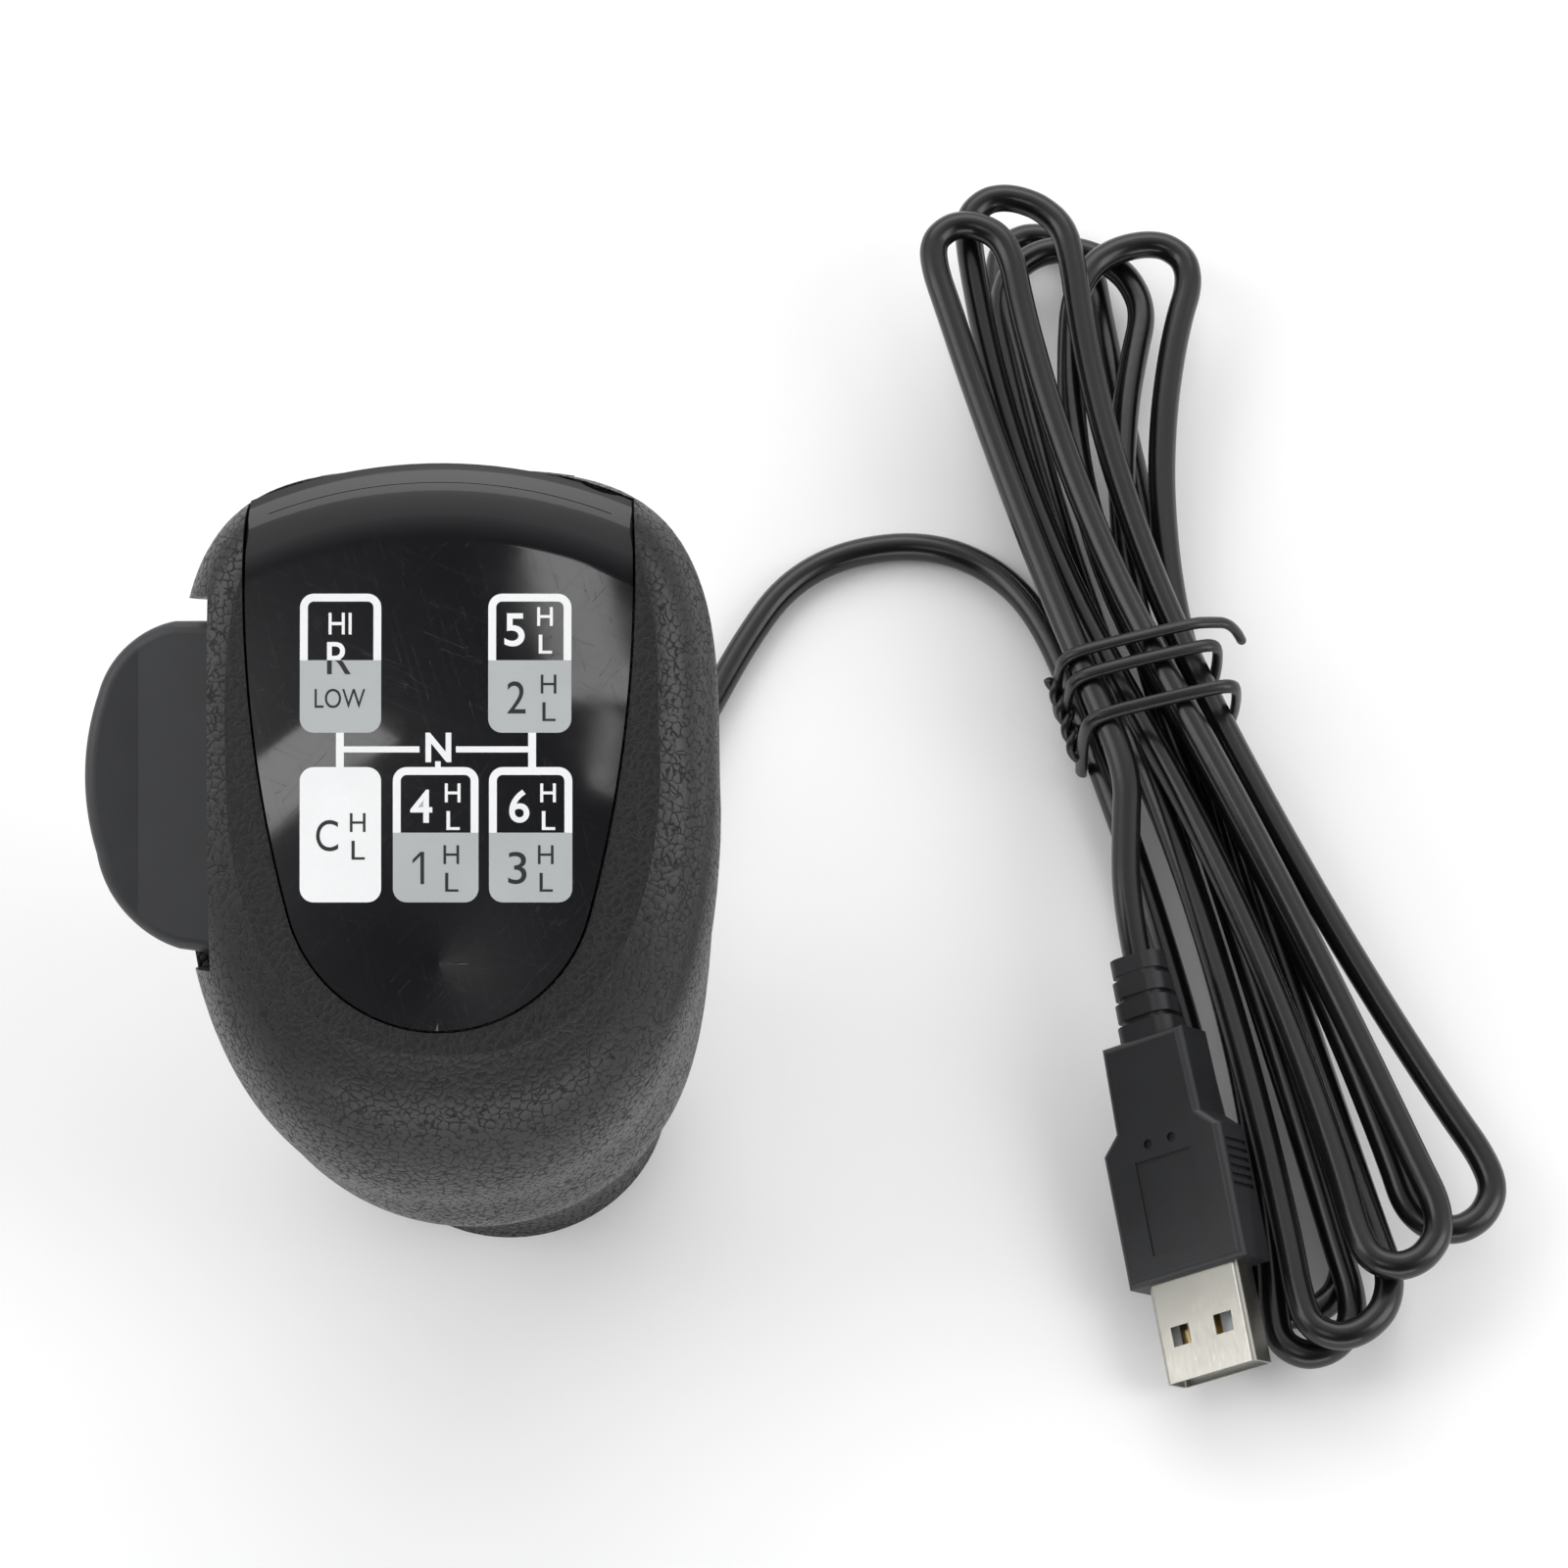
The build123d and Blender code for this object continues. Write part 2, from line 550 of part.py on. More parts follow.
def neck_rib(angle):
    """A rib that ties a board post to the socket tube and to the neck's wall."""
    length = NECK_RADIUS
    rib = box_between((BUSH_RADIUS + 0.5, -RIB_THICKNESS / 2, FOOT_THICKNESS - 0.5),
                      (length + 1.5, RIB_THICKNESS / 2, RIB_TOP_Z))
    return Rot(0, 0, angle) * rib


# Hinge pins, paddle and flap


def paddle_pin_ends():
    """Both ends of the paddle's pin, in head coordinates."""
    return ((PADDLE_PIVOT_U, PADDLE_REAR_V - 0.4, PADDLE_PIVOT_W),
            (PADDLE_PIVOT_U, PADDLE_FRONT_V - 1.1 + EAR_THICKNESS, PADDLE_PIVOT_W))


def flap_pin_ends():
    """Both ends of the flap's pin, in head coordinates."""
    half = FLAP_HALF_WIDTH + FLAP_SIDE_GAP + CHEEK_THICKNESS - 0.3
    return ((-half, FLAP_PIVOT_V, FLAP_PIVOT_W), (half, FLAP_PIVOT_V, FLAP_PIVOT_W))


def paddle_outline():
    """The paddle's D shape in head coordinates: straight at the grip, round outside."""
    front, rear, reach = PADDLE_FRONT_V, PADDLE_REAR_V, PADDLE_REACH_U
    root = PADDLE_PIVOT_U - 5.0
    lines = [
        Line((root, rear), (root, front)),
        Line((root, front), (reach + 10.2, front)),
        ThreePointArc((reach + 10.2, front), (reach + 4.3, front - 3.1), (reach + 1.5, front - 8.0)),
        ThreePointArc((reach + 1.5, front - 8.0), (reach, front - 17.0), (reach + 1.3, rear + 11.6)),
        ThreePointArc((reach + 1.3, rear + 11.6), (reach + 4.7, rear + 4.7), (reach + 10.7, rear + 1.0)),
        Line((reach + 10.7, rear + 1.0), (root, rear)),
    ]
    return make_face(lines)


def paddle_profile():
    """The paddle's side profile: a shallow dish on top, thinner towards the outside."""
    w, half = PADDLE_PIVOT_W, PADDLE_THICKNESS / 2
    root, reach = PADDLE_PIVOT_U - 4.0, PADDLE_REACH_U - 1.0
    fold = reach + 7.2
    return make_face(Polyline((root, w + half), (fold, w + half - PADDLE_TOP_DISH - 0.6),
                              (reach, w + half - PADDLE_TOP_DISH), (reach, w - half + PADDLE_UNDER_TAPER),
                              (root, w - half), (root, w + half)))


def paddle_blade():
    """The part of the paddle that shows, with its edges rounded."""
    side = extrude(Plane.XZ * paddle_profile(), 60, both=True)
    blade = Pos(0, 0, -40) * extrude(paddle_outline(), 60, dir=(0, 0, 1)) & side
    rim = blade.edges().filter_by(lambda e: e.center().X < PADDLE_PIVOT_U - 5.5)
    outside = [e for e in rim if abs(e.tangent_at(0.5).Z) < 0.5 and on_paddle_rim(e)]
    rim_thickness = PADDLE_THICKNESS - PADDLE_TOP_DISH - PADDLE_UNDER_TAPER
    return fillet(outside, min(PADDLE_EDGE, rim_thickness * 0.45))


def on_paddle_rim(edge):
    """Whether an edge of the raw blade lies on its outline and not across its top."""
    ends = [edge.position_at(0.0), edge.position_at(1.0)]
    across = abs(ends[0].X - ends[1].X) < 0.01 and abs(ends[0].Y - ends[1].Y) > 30
    return not across


def thumb_paddle():
    """The paddle at rest, turned down by half its swing: blade, hub, grooved hub ring and arm."""
    u, w = PADDLE_PIVOT_U, PADDLE_PIVOT_W
    rear, front = PADDLE_REAR_V + 2.2, PADDLE_FRONT_V - 1.3
    standing = (Align.CENTER, Align.CENTER, Align.MIN)
    hub = Pos(u, rear, w) * Rot(-90, 0, 0) * Cylinder(PADDLE_HUB_RADIUS, front - rear, align=standing)
    web_half = PADDLE_THICKNESS / 2 - 0.1
    web = box_between((u - 5.5, rear, w - web_half), (u, front, w + web_half))
    arm_half = PADDLE_ARM_WIDTH / 2
    arm_end = u + SWITCH_LEVER + 1.3
    arm = box_between((u, PADDLE_ARM_V - arm_half, w - 2.2), (arm_end, PADDLE_ARM_V + arm_half, w - 0.2))
    groove = Pos(u, PADDLE_DETENT_V, w) * Rot(90, 0, 0) * (
        Cylinder(PADDLE_HUB_RADIUS + 2, 2 * DETENT_BALL_RADIUS + 0.4)
        - Cylinder(PADDLE_HUB_RADIUS - DETENT_GROOVE, 2 * DETENT_BALL_RADIUS + 0.5))
    groove &= box_between((u - 3.0, -50, w - 1.0), (u + 8, 50, w + 8))
    bore = Pos(u, 0, w) * Rot(90, 0, 0) * Cylinder(PADDLE_PIN_RADIUS + FIT_GAP, 100)
    paddle = paddle_blade() + web + hub + arm - groove - bore
    at_rest = Pos(u, 0, w) * Rot(0, -PADDLE_SWING / 2, 0) * Pos(-u, 0, -w)
    return in_head(at_rest * paddle)


def range_flap(grown):
    """The flap in the front wall, shut: a skin that follows the grip, with its hub and arm."""
    half = FLAP_HALF_WIDTH
    skin = grown & head_box((-half, 12, -60), (half, 60, FLAP_TOP_W))
    skin &= box_between((-60, 0, FLAP_FOOT_Z), (60, 80, 120))
    lean = radians(14.7)
    back = Plane(origin=(CENTRE_X, 34.6, 86.0), x_dir=(1, 0, 0), z_dir=(0, cos(lean), -sin(lean)))
    skin = split(skin, bisect_by=back, keep=Keep.TOP)
    v, w = FLAP_PIVOT_V, FLAP_PIVOT_W
    hub = Pos(0, v, w) * Rot(0, 90, 0) * Cylinder(FLAP_HUB_RADIUS, 2 * half - 0.4)
    arm_half = FLAP_ARM_WIDTH / 2
    arm = box_between((-arm_half, v - SWITCH_LEVER - 1.2, w - 2.9), (arm_half, v, w - 1.1))
    groove = Pos(FLAP_DETENT_U, v, w) * Rot(0, 90, 0) * (
        Cylinder(FLAP_HUB_RADIUS + 2, 2 * DETENT_BALL_RADIUS + 0.4)
        - Cylinder(FLAP_HUB_RADIUS - DETENT_GROOVE, 2 * DETENT_BALL_RADIUS + 0.5))
    groove &= box_between((-50, v - 2.4, w), (50, v + 1.5, w + 6))
    bore = Pos(0, v, w) * Rot(0, 90, 0) * Cylinder(FLAP_PIN_RADIUS + FIT_GAP, 100)
    return skin + in_head(hub + arm) - in_head(groove) - in_head(bore)


# Detents


def detent_centre(pivot_w, hub_radius):
    """The w of a detent ball that sits just clear of its groove."""
    return pivot_w + hub_radius - DETENT_GROOVE + DETENT_BALL_RADIUS + DETENT_GAP


def detent_bore(u, v, pivot_w):
    """The bore in a detent post, from under the deck down."""
    return head_rod(DETENT_BALL_RADIUS + FIT_GAP, (u, v, pivot_w), (u, v, -DECK_UNDERSIDE))


def detent_ball(u, v, pivot_w, hub_radius):
    """A steel ball in its post."""
    return in_head(Pos(u, v, detent_centre(pivot_w, hub_radius)) * Sphere(DETENT_BALL_RADIUS))


def detent_spring(u, v, pivot_w, hub_radius):
    """The spring above a ball, as the sleeve that its coils fill."""
    bottom = detent_centre(pivot_w, hub_radius) + DETENT_BALL_RADIUS
    start, end = (u, v, bottom), (u, v, -DECK_UNDERSIDE)
    radius = DETENT_BALL_RADIUS - FIT_GAP
    return head_rod(radius, start, end) - head_rod(radius - DETENT_WIRE, start, end)


# Switches


def switch_body(low, high, centre):
    """A microswitch body with the bore that its plunger slides in."""
    body = head_box((*low, SWITCH_UNDERSIDE), (*high, -DECK_UNDERSIDE))
    top = SWITCH_UNDERSIDE + PLUNGER_LENGTH
    body -= head_rod(PLUNGER_RADIUS + PLUNGER_FIT, (*centre, SWITCH_UNDERSIDE - 1), (*centre, top))
    return body


def plunger(centre, contact_w):
    """A plunger that reaches from inside its switch to just clear of the arm."""
    return head_rod(PLUNGER_RADIUS, (*centre, contact_w), (*centre, SWITCH_UNDERSIDE + PLUNGER_LENGTH - 0.3))


def paddle_contact_w():
    """The height of the paddle's arm under its switch at rest."""
    angle = radians(PADDLE_SWING / 2)
    return PADDLE_PIVOT_W + SWITCH_LEVER * sin(angle) - 0.2 * cos(angle) + PLUNGER_GAP


def flap_contact_w():
    """The height of the flap's arm under its switch when the flap is shut."""
    return FLAP_PIVOT_W - 1.1 + PLUNGER_GAP


def switch_terminals():
    """Three flat terminals on each switch, out of the side that faces the middle of the grip."""
    blades = []
    w = -DECK_UNDERSIDE - 2.6
    side = PADDLE_SWITCH_HIGH[0]
    for step in (-4.2, 0, 4.2):
        v = PADDLE_ARM_V + step
        blades.append(head_box((side, v - 0.4, w - 0.9), (side + TERMINAL_LENGTH, v + 0.4, w)))
    side = RANGE_SWITCH_LOW[1]
    for u in (-3.6, 0, 3.6):
        blades.append(head_box((u - 0.4, side - TERMINAL_LENGTH, w - 0.9), (u + 0.4, side, w)))
    return blades


# Fasteners


def pan_screw(shaft_radius, head_radius, head_height, length):
    """A pan-head screw along Z: the head stands on z = 0 and the shaft goes down."""
    head = Cylinder(head_radius, head_height, align=(Align.CENTER, Align.CENTER, Align.MIN))
    head = fillet(head.edges().group_by(Axis.Z)[-1], head_height * 0.4)
    long, short = head_radius * 1.1, head_radius * 0.28
    cross = Box(long, short, head_height) + Box(short, long, head_height)
    head -= Pos(0, 0, head_height) * cross
    shaft = Cylinder(shaft_radius, length, align=(Align.CENTER, Align.CENTER, Align.MAX))
    return head + shaft


def shell_screws():
    """The four screws under the plate that close the grip."""
    floor = -PLATE_DEPTH - SHELL_SCREW_HEAD_HEIGHT - 0.1
    screw = pan_screw(SHELL_SCREW_SHAFT, SHELL_SCREW_HEAD, SHELL_SCREW_HEAD_HEIGHT, SHELL_SCREW_REACH + floor)
    return [in_head(Pos(u, v, floor) * screw) for u, v in SHELL_SCREW_PLACES]


def board_screws():
    """The four screws that hold the board on its posts."""
    screw = pan_screw(BOARD_SCREW_SHAFT, BOARD_SCREW_HEAD, 1.2, BOARD_SCREW_LENGTH)
    return [Pos(*polar(BOARD_POST_CIRCLE, a), BOARD_Z + BOARD_THICKNESS) * screw for a in BOARD_POST_ANGLES]


def set_screws():
    """The three set screws that clamp the rod, each with a hexagon socket."""
    screws = []
    start = ROD_BORE_RADIUS + 0.3
    for angle in SET_SCREW_ANGLES:
        screw = radial_rod(SET_SCREW_RADIUS, angle, SET_SCREW_Z, start, start + SET_SCREW_LENGTH)
        outer_end = (*polar(start + SET_SCREW_LENGTH, angle), SET_SCREW_Z)
        end = Plane(origin=outer_end, z_dir=(*polar(-1, angle), 0))
        socket = extrude(end * RegularPolygon(SET_SCREW_RADIUS * 0.5, 6), 3.0)
        screws.append(screw - socket)
    return screws


def rod_bush():
    """The flanged metal bush in the neck, bored from below for the shift rod."""
    bush = rod(BUSH_RADIUS, (0, 0, 0), (0, 0, BUSH_HEIGHT))
    bush += rod(BUSH_FLANGE_RADIUS, (0, 0, BUSH_HEIGHT), (0, 0, BUSH_HEIGHT + BUSH_FLANGE_HEIGHT))
    bush -= rod(ROD_BORE_RADIUS, (0, 0, -1), (0, 0, ROD_BORE_LENGTH))
    for angle in SET_SCREW_ANGLES:
        bush -= radial_rod(SET_SCREW_RADIUS + FIT_GAP, angle, SET_SCREW_Z, 0, BUSH_RADIUS + 1)
    return bush


# Board and wiring


def circuit_board():
    """The board, with its four screw holes."""
    top = BOARD_Z + BOARD_THICKNESS
    board = box_between((-BOARD_HALF_WIDTH, BOARD_REAR_Y, BOARD_Z), (BOARD_HALF_WIDTH, BOARD_FRONT_Y, top))
    board = fillet(board.edges().filter_by(Axis.Z), 2.0)
    for angle in BOARD_POST_ANGLES:
        x, y = polar(BOARD_POST_CIRCLE, angle)
        board -= rod(BOARD_SCREW_SHAFT + 0.15, (x, y, BOARD_Z - 1), (x, y, top + 1))
    return board


CHIP_PLACE = (-1.0, -3.5)
CHIP_SIZE = (9.0, 7.0, 1.6)
CRYSTAL_PLACE = (-9.0, 11.6)
CRYSTAL_SIZE = (6.0, 3.4, 1.8)
SWITCH_HEADER_PLACE = (-2.5, 6.8)
SWITCH_HEADER_SIZE = (10.0, 4.6, 5.0)


def on_board(place, size):
    """A block that stands on the board."""
    x, y = place
    z = BOARD_Z + BOARD_THICKNESS + size[2] / 2
    return Pos(x, y, z) * Box(*size)


def controller_chip():
    """The controller: a body with a row of legs down each side."""
    chip = on_board(CHIP_PLACE, CHIP_SIZE)
    x, y = CHIP_PLACE
    z = BOARD_Z + BOARD_THICKNESS
    for i in range(7):
        for side in (-1, 1):
            leg_x = x + (i - 3) * 1.2
            leg_y = y + side * (CHIP_SIZE[1] / 2 + 0.5)
            chip += box_between((leg_x - 0.2, leg_y - 0.6, z), (leg_x + 0.2, leg_y + 0.6, z + 0.5))
    return chip


def usb_header():
    """The header under the board, over the cable entry, that takes the four wires."""
    x, y = polar(wire_rise_radius(), ENTRY_ANGLE)
    return Pos(x, y, BOARD_Z - USB_HEADER_SIZE[2] / 2) * Rot(0, 0, ENTRY_ANGLE - 90) * Box(*USB_HEADER_SIZE)


def wire_rise_radius():
    """How far from the neck's axis the four wires rise."""
    return BUSH_RADIUS + NECK_TUBE_WALL + WIRE_RADIUS + 0.5


def usb_wires():
    """Four wires from the cord's end in the grommet, up beside the socket tube, to their header."""
    wires = []
    rise = wire_rise_radius()
    top = BOARD_Z - USB_HEADER_SIZE[2]
    start = rise + WIRE_BEND + 0.4
    for i in range(4):
        offset_along = (i - 1.5) * WIRE_STEP
        points = []
        for radius, z in ((start, ENTRY_Z), (rise, ENTRY_Z), (rise, top)):
            x, y = polar(radius, ENTRY_ANGLE)
            side_x, side_y = polar(offset_along, ENTRY_ANGLE + 90)
            points.append((x + side_x, y + side_y, z))
        wires.append(swept(FilletPolyline(*points, radius=WIRE_BEND), WIRE_RADIUS))
    return wires


def switch_wires():
    """Two wires from each switch down to the header on the board."""
    w = -DECK_UNDERSIDE - 3.05
    header_top = BOARD_Z + BOARD_THICKNESS + SWITCH_HEADER_SIZE[2]
    x0, y0 = SWITCH_HEADER_PLACE
    routes = []
    for i, step in enumerate((-4.2, 4.2)):
        tip = head_point(PADDLE_SWITCH_HIGH[0] + TERMINAL_LENGTH, PADDLE_ARM_V + step, w)
        out = tip + Vector(3.0, 0, 0)
        foot = Vector(x0 - 3.6 + 1.4 * i, y0, header_top)
        routes.append([tip, out, foot + Vector(0, 0, 8), foot])
    for i, u in enumerate((-3.6, 3.6)):
        tip = head_point(u, RANGE_SWITCH_LOW[1] - TERMINAL_LENGTH, w)
        out = head_point(u * 0.7, RANGE_SWITCH_LOW[1] - TERMINAL_LENGTH - 3.0, w)
        foot = Vector(x0 + 1.8 + 1.8 * i, y0, header_top)
        routes.append([tip, out, foot + Vector(0, 0, 8), foot])
    return [swept(FilletPolyline(*route, radius=[2.0, 3.0]), WIRE_RADIUS) for route in routes]


def cable_grommet():
    """The rubber grommet and boot in the neck's wall, along the way that the cord leaves."""
    def ring(radius, start, end):
        return radial_rod(radius, ENTRY_ANGLE, ENTRY_Z, start, end)

    inner_face = wire_rise_radius() + WIRE_BEND + 0.4
    face = GROMMET_SEAT + GROMMET_FLANGE_THICKNESS
    grommet = ring(GROMMET_CORE_RADIUS, inner_face, GROMMET_SEAT)
    grommet += ring(GROMMET_FLANGE_RADIUS, GROMMET_SEAT, face)
    boot_start = Plane(origin=(*polar(face, ENTRY_ANGLE), ENTRY_Z), z_dir=(*polar(1, ENTRY_ANGLE), 0))
    boot_end = Plane(origin=(*polar(GROMMET_TIP, ENTRY_ANGLE), ENTRY_Z), z_dir=(*polar(1, ENTRY_ANGLE), 0))
    grommet += loft([boot_start * Circle(3.4), boot_end * Circle(CORD_RADIUS + 0.7)])
    return grommet


# Cord


def bend_radii(points):
    """The largest sensible radius at each corner of a route: 0.45 of its shorter run."""
    radii = []
    for before, corner, after in zip(points, points[1:], points[2:]):
        arriving = Vector(*corner) - Vector(*before)
        leaving = Vector(*after) - Vector(*corner)
        half_turn = radians(arriving.get_angle(leaving)) / 2
        radii.append(0.45 * min(arriving.length, leaving.length) / tan(half_turn))
    return radii


def swept(path, radius):
    """A round tube along a path, as one solid."""
    start = Plane(origin=path @ 0, z_dir=path % 0)
    return sweep(start * Circle(radius), path=path)


def print_tube(name, tube_solid, path, radii):
    """Print a tube's length and least radius, and its volume against its section times its length."""
    expected = pi * CORD_RADIUS ** 2 * path.length
    share = tube_solid.volume / expected
    print(f"{name}: length {path.length:.1f}, least radius {min(radii):.1f}, volume / expected {share:.4f}")


def cord_stretch(name, points):
    """A free stretch of the cord along a route of points."""
    radii = bend_radii(points)
    path = FilletPolyline(*points, radius=radii)
    stretch = swept(path, CORD_RADIUS)
    print_tube(name, stretch, path, radii)
    return stretch


def cord_lead():
    """The cord from the grommet's tip down to the floor and over to the hank."""
    start = Vector(*polar(GROMMET_TIP, ENTRY_ANGLE), ENTRY_Z)
    clear = Vector(*polar(GROMMET_TIP + LEAD_FIRST_RUN, ENTRY_ANGLE), ENTRY_Z)
    leg_start, along = hank_leg(0)
    end = leg_start - along * CORD_END_RUN
    return cord_stretch("cord_lead", [start, clear, *LEAD_POINTS, end - along * 1.5 * CORD_END_RUN, end])


def cord_tail():
    """The cord from the hank's last leg to the plug's strain relief."""
    leg_start, along = hank_leg(len(HANK_LEGS) - 1)
    start = leg_start + along * CORD_END_RUN
    end = plug_point(0, OVERMOLD_NECK_LENGTH + RELIEF_LENGTH, 0)
    before = end - PLUG_ALONG * 1.3 * CORD_END_RUN
    return cord_stretch("cord_tail", [start, start + along * CORD_END_RUN, TAIL_POINT, before, end])


# Hank


def slanted(across, along=0.0, up=0.0):
    """A place near the hank's waist, across it, along its axis towards the top, and up."""
    slant = radians(HANK_SLANT)
    x = across * cos(slant) - along * sin(slant)
    y = across * sin(slant) + along * cos(slant)
    return HANK_WAIST + Vector(x, y, up)


def hank_leg(index):
    """Where a leg crosses the waist, and which way the cord runs there; even legs run down the page."""
    column, layer, lean, climb = HANK_LEGS[index]
    place = slanted(column * HANK_COLUMN_STEP, 0, layer * HANK_LAYER_STEP)
    heading = radians(HANK_SLANT + lean)
    rise = radians(climb)
    along = Vector(sin(heading) * cos(rise), -cos(heading) * cos(rise), sin(rise))
    return place, along if index % 2 == 0 else -along


def biarc(start, start_along, end, end_along, end_handle):
    """Two arcs, tangent to each other and to both ends, each as its start, tangent and end."""
    span = end - start
    turned = start_along.dot(span) + end_handle * (1 - start_along.dot(end_along))
    start_handle = (span.dot(span) - 2 * end_handle * span.dot(end_along)) / (2 * turned)
    first_corner = start + start_along * start_handle
    second_corner = end - end_along * end_handle
    share = end_handle / (start_handle + end_handle)
    middle = first_corner * share + second_corner * (1 - share)
    return [(start, start_along, middle), (middle, (second_corner - first_corner).normalized(), end)]


def hank_arcs():
    """All arcs of the hank in order: a long and a tight one out to each tip, and the same back."""
    arcs = []
    for index, (tip, turn, width_in, width_out) in enumerate(HANK_TIPS):
        side = 1 if index % 2 == 0 else -1
        across = Vector(cos(radians(turn)), sin(radians(turn)), 0) * side
        place, along = hank_leg(index)
        arcs += [Edge.make_tangent_arc(*arc) for arc in biarc(place, along, tip, across, width_in)]
        place, along = hank_leg(index + 1)
        back = [Edge.make_tangent_arc(*arc) for arc in biarc(place, -along, tip, -across, width_out)]
        arcs += [Edge.make_three_point_arc(arc @ 1, arc @ 0.5, arc @ 0) for arc in reversed(back)]
    return arcs


def least_gap(edges):
    """The hank's least gap to itself, measured between points one millimetre apart along it."""
    points = []
    travelled = 0.0
    for edge in edges:
        steps = max(2, round(edge.length))
        for i in range(steps):
            points.append((travelled + edge.length * i / steps, tuple(edge.position_at(i / steps))))
        travelled += edge.length
    nearest = min(
        dist(place, other)
        for i, (reach, place) in enumerate(points)
        for other_reach, other in points[i + 1:]
        if other_reach - reach > 4 * 2 * CORD_RADIUS
    )
    return nearest - 2 * CORD_RADIUS


def cord_hank():
    """The whole hank as one unbroken tube, with a straight stretch at each end."""
    start, along = hank_leg(0)
    end, end_along = hank_leg(len(HANK_LEGS) - 1)
    arcs = hank_arcs()
    edges = [Edge.make_line(start - along * CORD_END_RUN, start), *arcs]
    edges.append(Edge.make_line(end, end + end_along * CORD_END_RUN))
    path = Wire(edges)
    hank = swept(path, CORD_RADIUS)
    print_tube("cord_hank", hank, path, [arc.radius for arc in arcs])
    print(f"cord_hank: least gap to itself {least_gap(edges):.2f}")
    return hank


def wrap_reach(side, along):
    """How far out a wrap's wire lies to one side of the waist, at a place along it."""
    reaches = []
    for index in range(len(HANK_LEGS)):
        place, heading = hank_leg(index)
        across, up_axis = slanted(1) - slanted(0), slanted(0, 1) - slanted(0)
        place = place + heading * (along / heading.dot(up_axis))
        reaches.append((place - HANK_WAIST).dot(across) * side)
    return side * (max(reaches) + CORD_RADIUS + TIE_RADIUS + TIE_GAP)


def twist_tie():
    """The tie: three slanting wraps round the waist, with an end out to each side."""
    layers = HANK_LEGS[-1][1]
    floor = TIE_RADIUS + 0.05 - HANK_WAIST.Z
    top = layers * HANK_LAYER_STEP + CORD_RADIUS + TIE_RADIUS + TIE_GAP
    right, left = wrap_reach(1, TIE_WRAPS[0]), wrap_reach(-1, TIE_WRAPS[-1])
    points = [slanted(right + TIE_END_LENGTH, TIE_WRAPS[0] - 1.0, top - 4.0)]
    for start, end in zip(TIE_WRAPS, [*TIE_WRAPS[1:], None]):
        points.append(slanted(wrap_reach(1, start) - 0.6, start, top - 1.6))
        points.append(slanted(wrap_reach(1, start) - 4.6, start, top + 0.3))
        points.append(slanted(wrap_reach(-1, start) + 1.0, start - 0.3, top))
        points.append(slanted(wrap_reach(-1, start), start - 0.5, top - 2.6))
        points.append(slanted(wrap_reach(-1, start), start - 0.6, floor))
        if end is not None:
            points.append(slanted(wrap_reach(1, end) + 0.3, (start + end) / 2, floor))
            points.append(slanted(wrap_reach(1, end) + 0.1, end + 0.2, top - 5.0))
    points.append(slanted(left - TIE_END_LENGTH, TIE_WRAPS[-1] + 1.0, floor))
    radii = [min(radius, TIE_BEND) for radius in bend_radii(points)]
    return swept(FilletPolyline(*points, radius=radii), TIE_RADIUS)


# Plug


def plug_plane():
    """The plug's own frame at its shoulder: x across it, y back along the cord, z out of its face."""
    level = Vector(cos(radians(PLUG_ROLL)), 0, sin(radians(PLUG_ROLL)))
    across = (level - PLUG_ALONG * level.dot(PLUG_ALONG)).normalized()
    return Plane(origin=PLUG_SHOULDER, x_dir=across, z_dir=across.cross(-PLUG_ALONG))


def plug_point(x, y, z):
    """A point given in the plug's frame, in the part's own frame."""
    return plug_plane().from_local_coords(Vector(x, y, z))


def in_plug(shape):
    """Carry a shape drawn in the plug's frame into the part's own frame."""
    return plug_plane().location * shape


def plug_block(width, thickness, start, end, edge):
    """A block along the plug with its four long edges rounded."""
    block = box_between((-width / 2, start, -thickness / 2), (width / 2, end, thickness / 2))
    return fillet(block.edges().filter_by(Axis.Y), edge)


def usb_overmold():
    """The plug's moulded body: a wide front, a narrower neck, a sunk panel, dimples and side ribs."""
    wide, neck = OVERMOLD_WIDTH / 2, OVERMOLD_NECK_WIDTH / 2
    outline = Polyline(
        (-wide, -OVERMOLD_LENGTH), (wide, -OVERMOLD_LENGTH), (wide, -1.0), (neck, 1.2),
        (neck - 0.3, OVERMOLD_NECK_LENGTH), (-neck + 0.3, OVERMOLD_NECK_LENGTH), (-neck, 1.2), (-wide, -1.0),
        close=True,
    )
    half = OVERMOLD_THICKNESS / 2
    body = Pos(0, 0, -half) * extrude(make_face(outline), OVERMOLD_THICKNESS, dir=(0, 0, 1))
    rims = body.edges().filter_by(lambda e: abs(e.tangent_at(0.5).Z) < 0.1 and abs(e.center().Z) > half - 0.1)
    body = fillet(rims, OVERMOLD_EDGE)
    panel_middle = -OVERMOLD_LENGTH / 2
    for side in (-1, 1):
        body -= Pos(0, panel_middle, side * half) * Box(PANEL_WIDTH, PANEL_LENGTH, 2 * PANEL_DEPTH)
        body -= Pos(side * 1.6, -1.2, half) * Cylinder(0.6, 1.0)
        for i in range(6):
            body -= Pos(side * wide, -3.0 - i * 1.1, 0) * Box(0.8, 0.5, OVERMOLD_THICKNESS - 2.4)
    pocket_end = -OVERMOLD_LENGTH + SHELL_HELD
    pocket = plug_block(SHELL_WIDTH, SHELL_THICKNESS, -OVERMOLD_LENGTH - 1, pocket_end, 0.6)
    return in_plug(body - pocket)


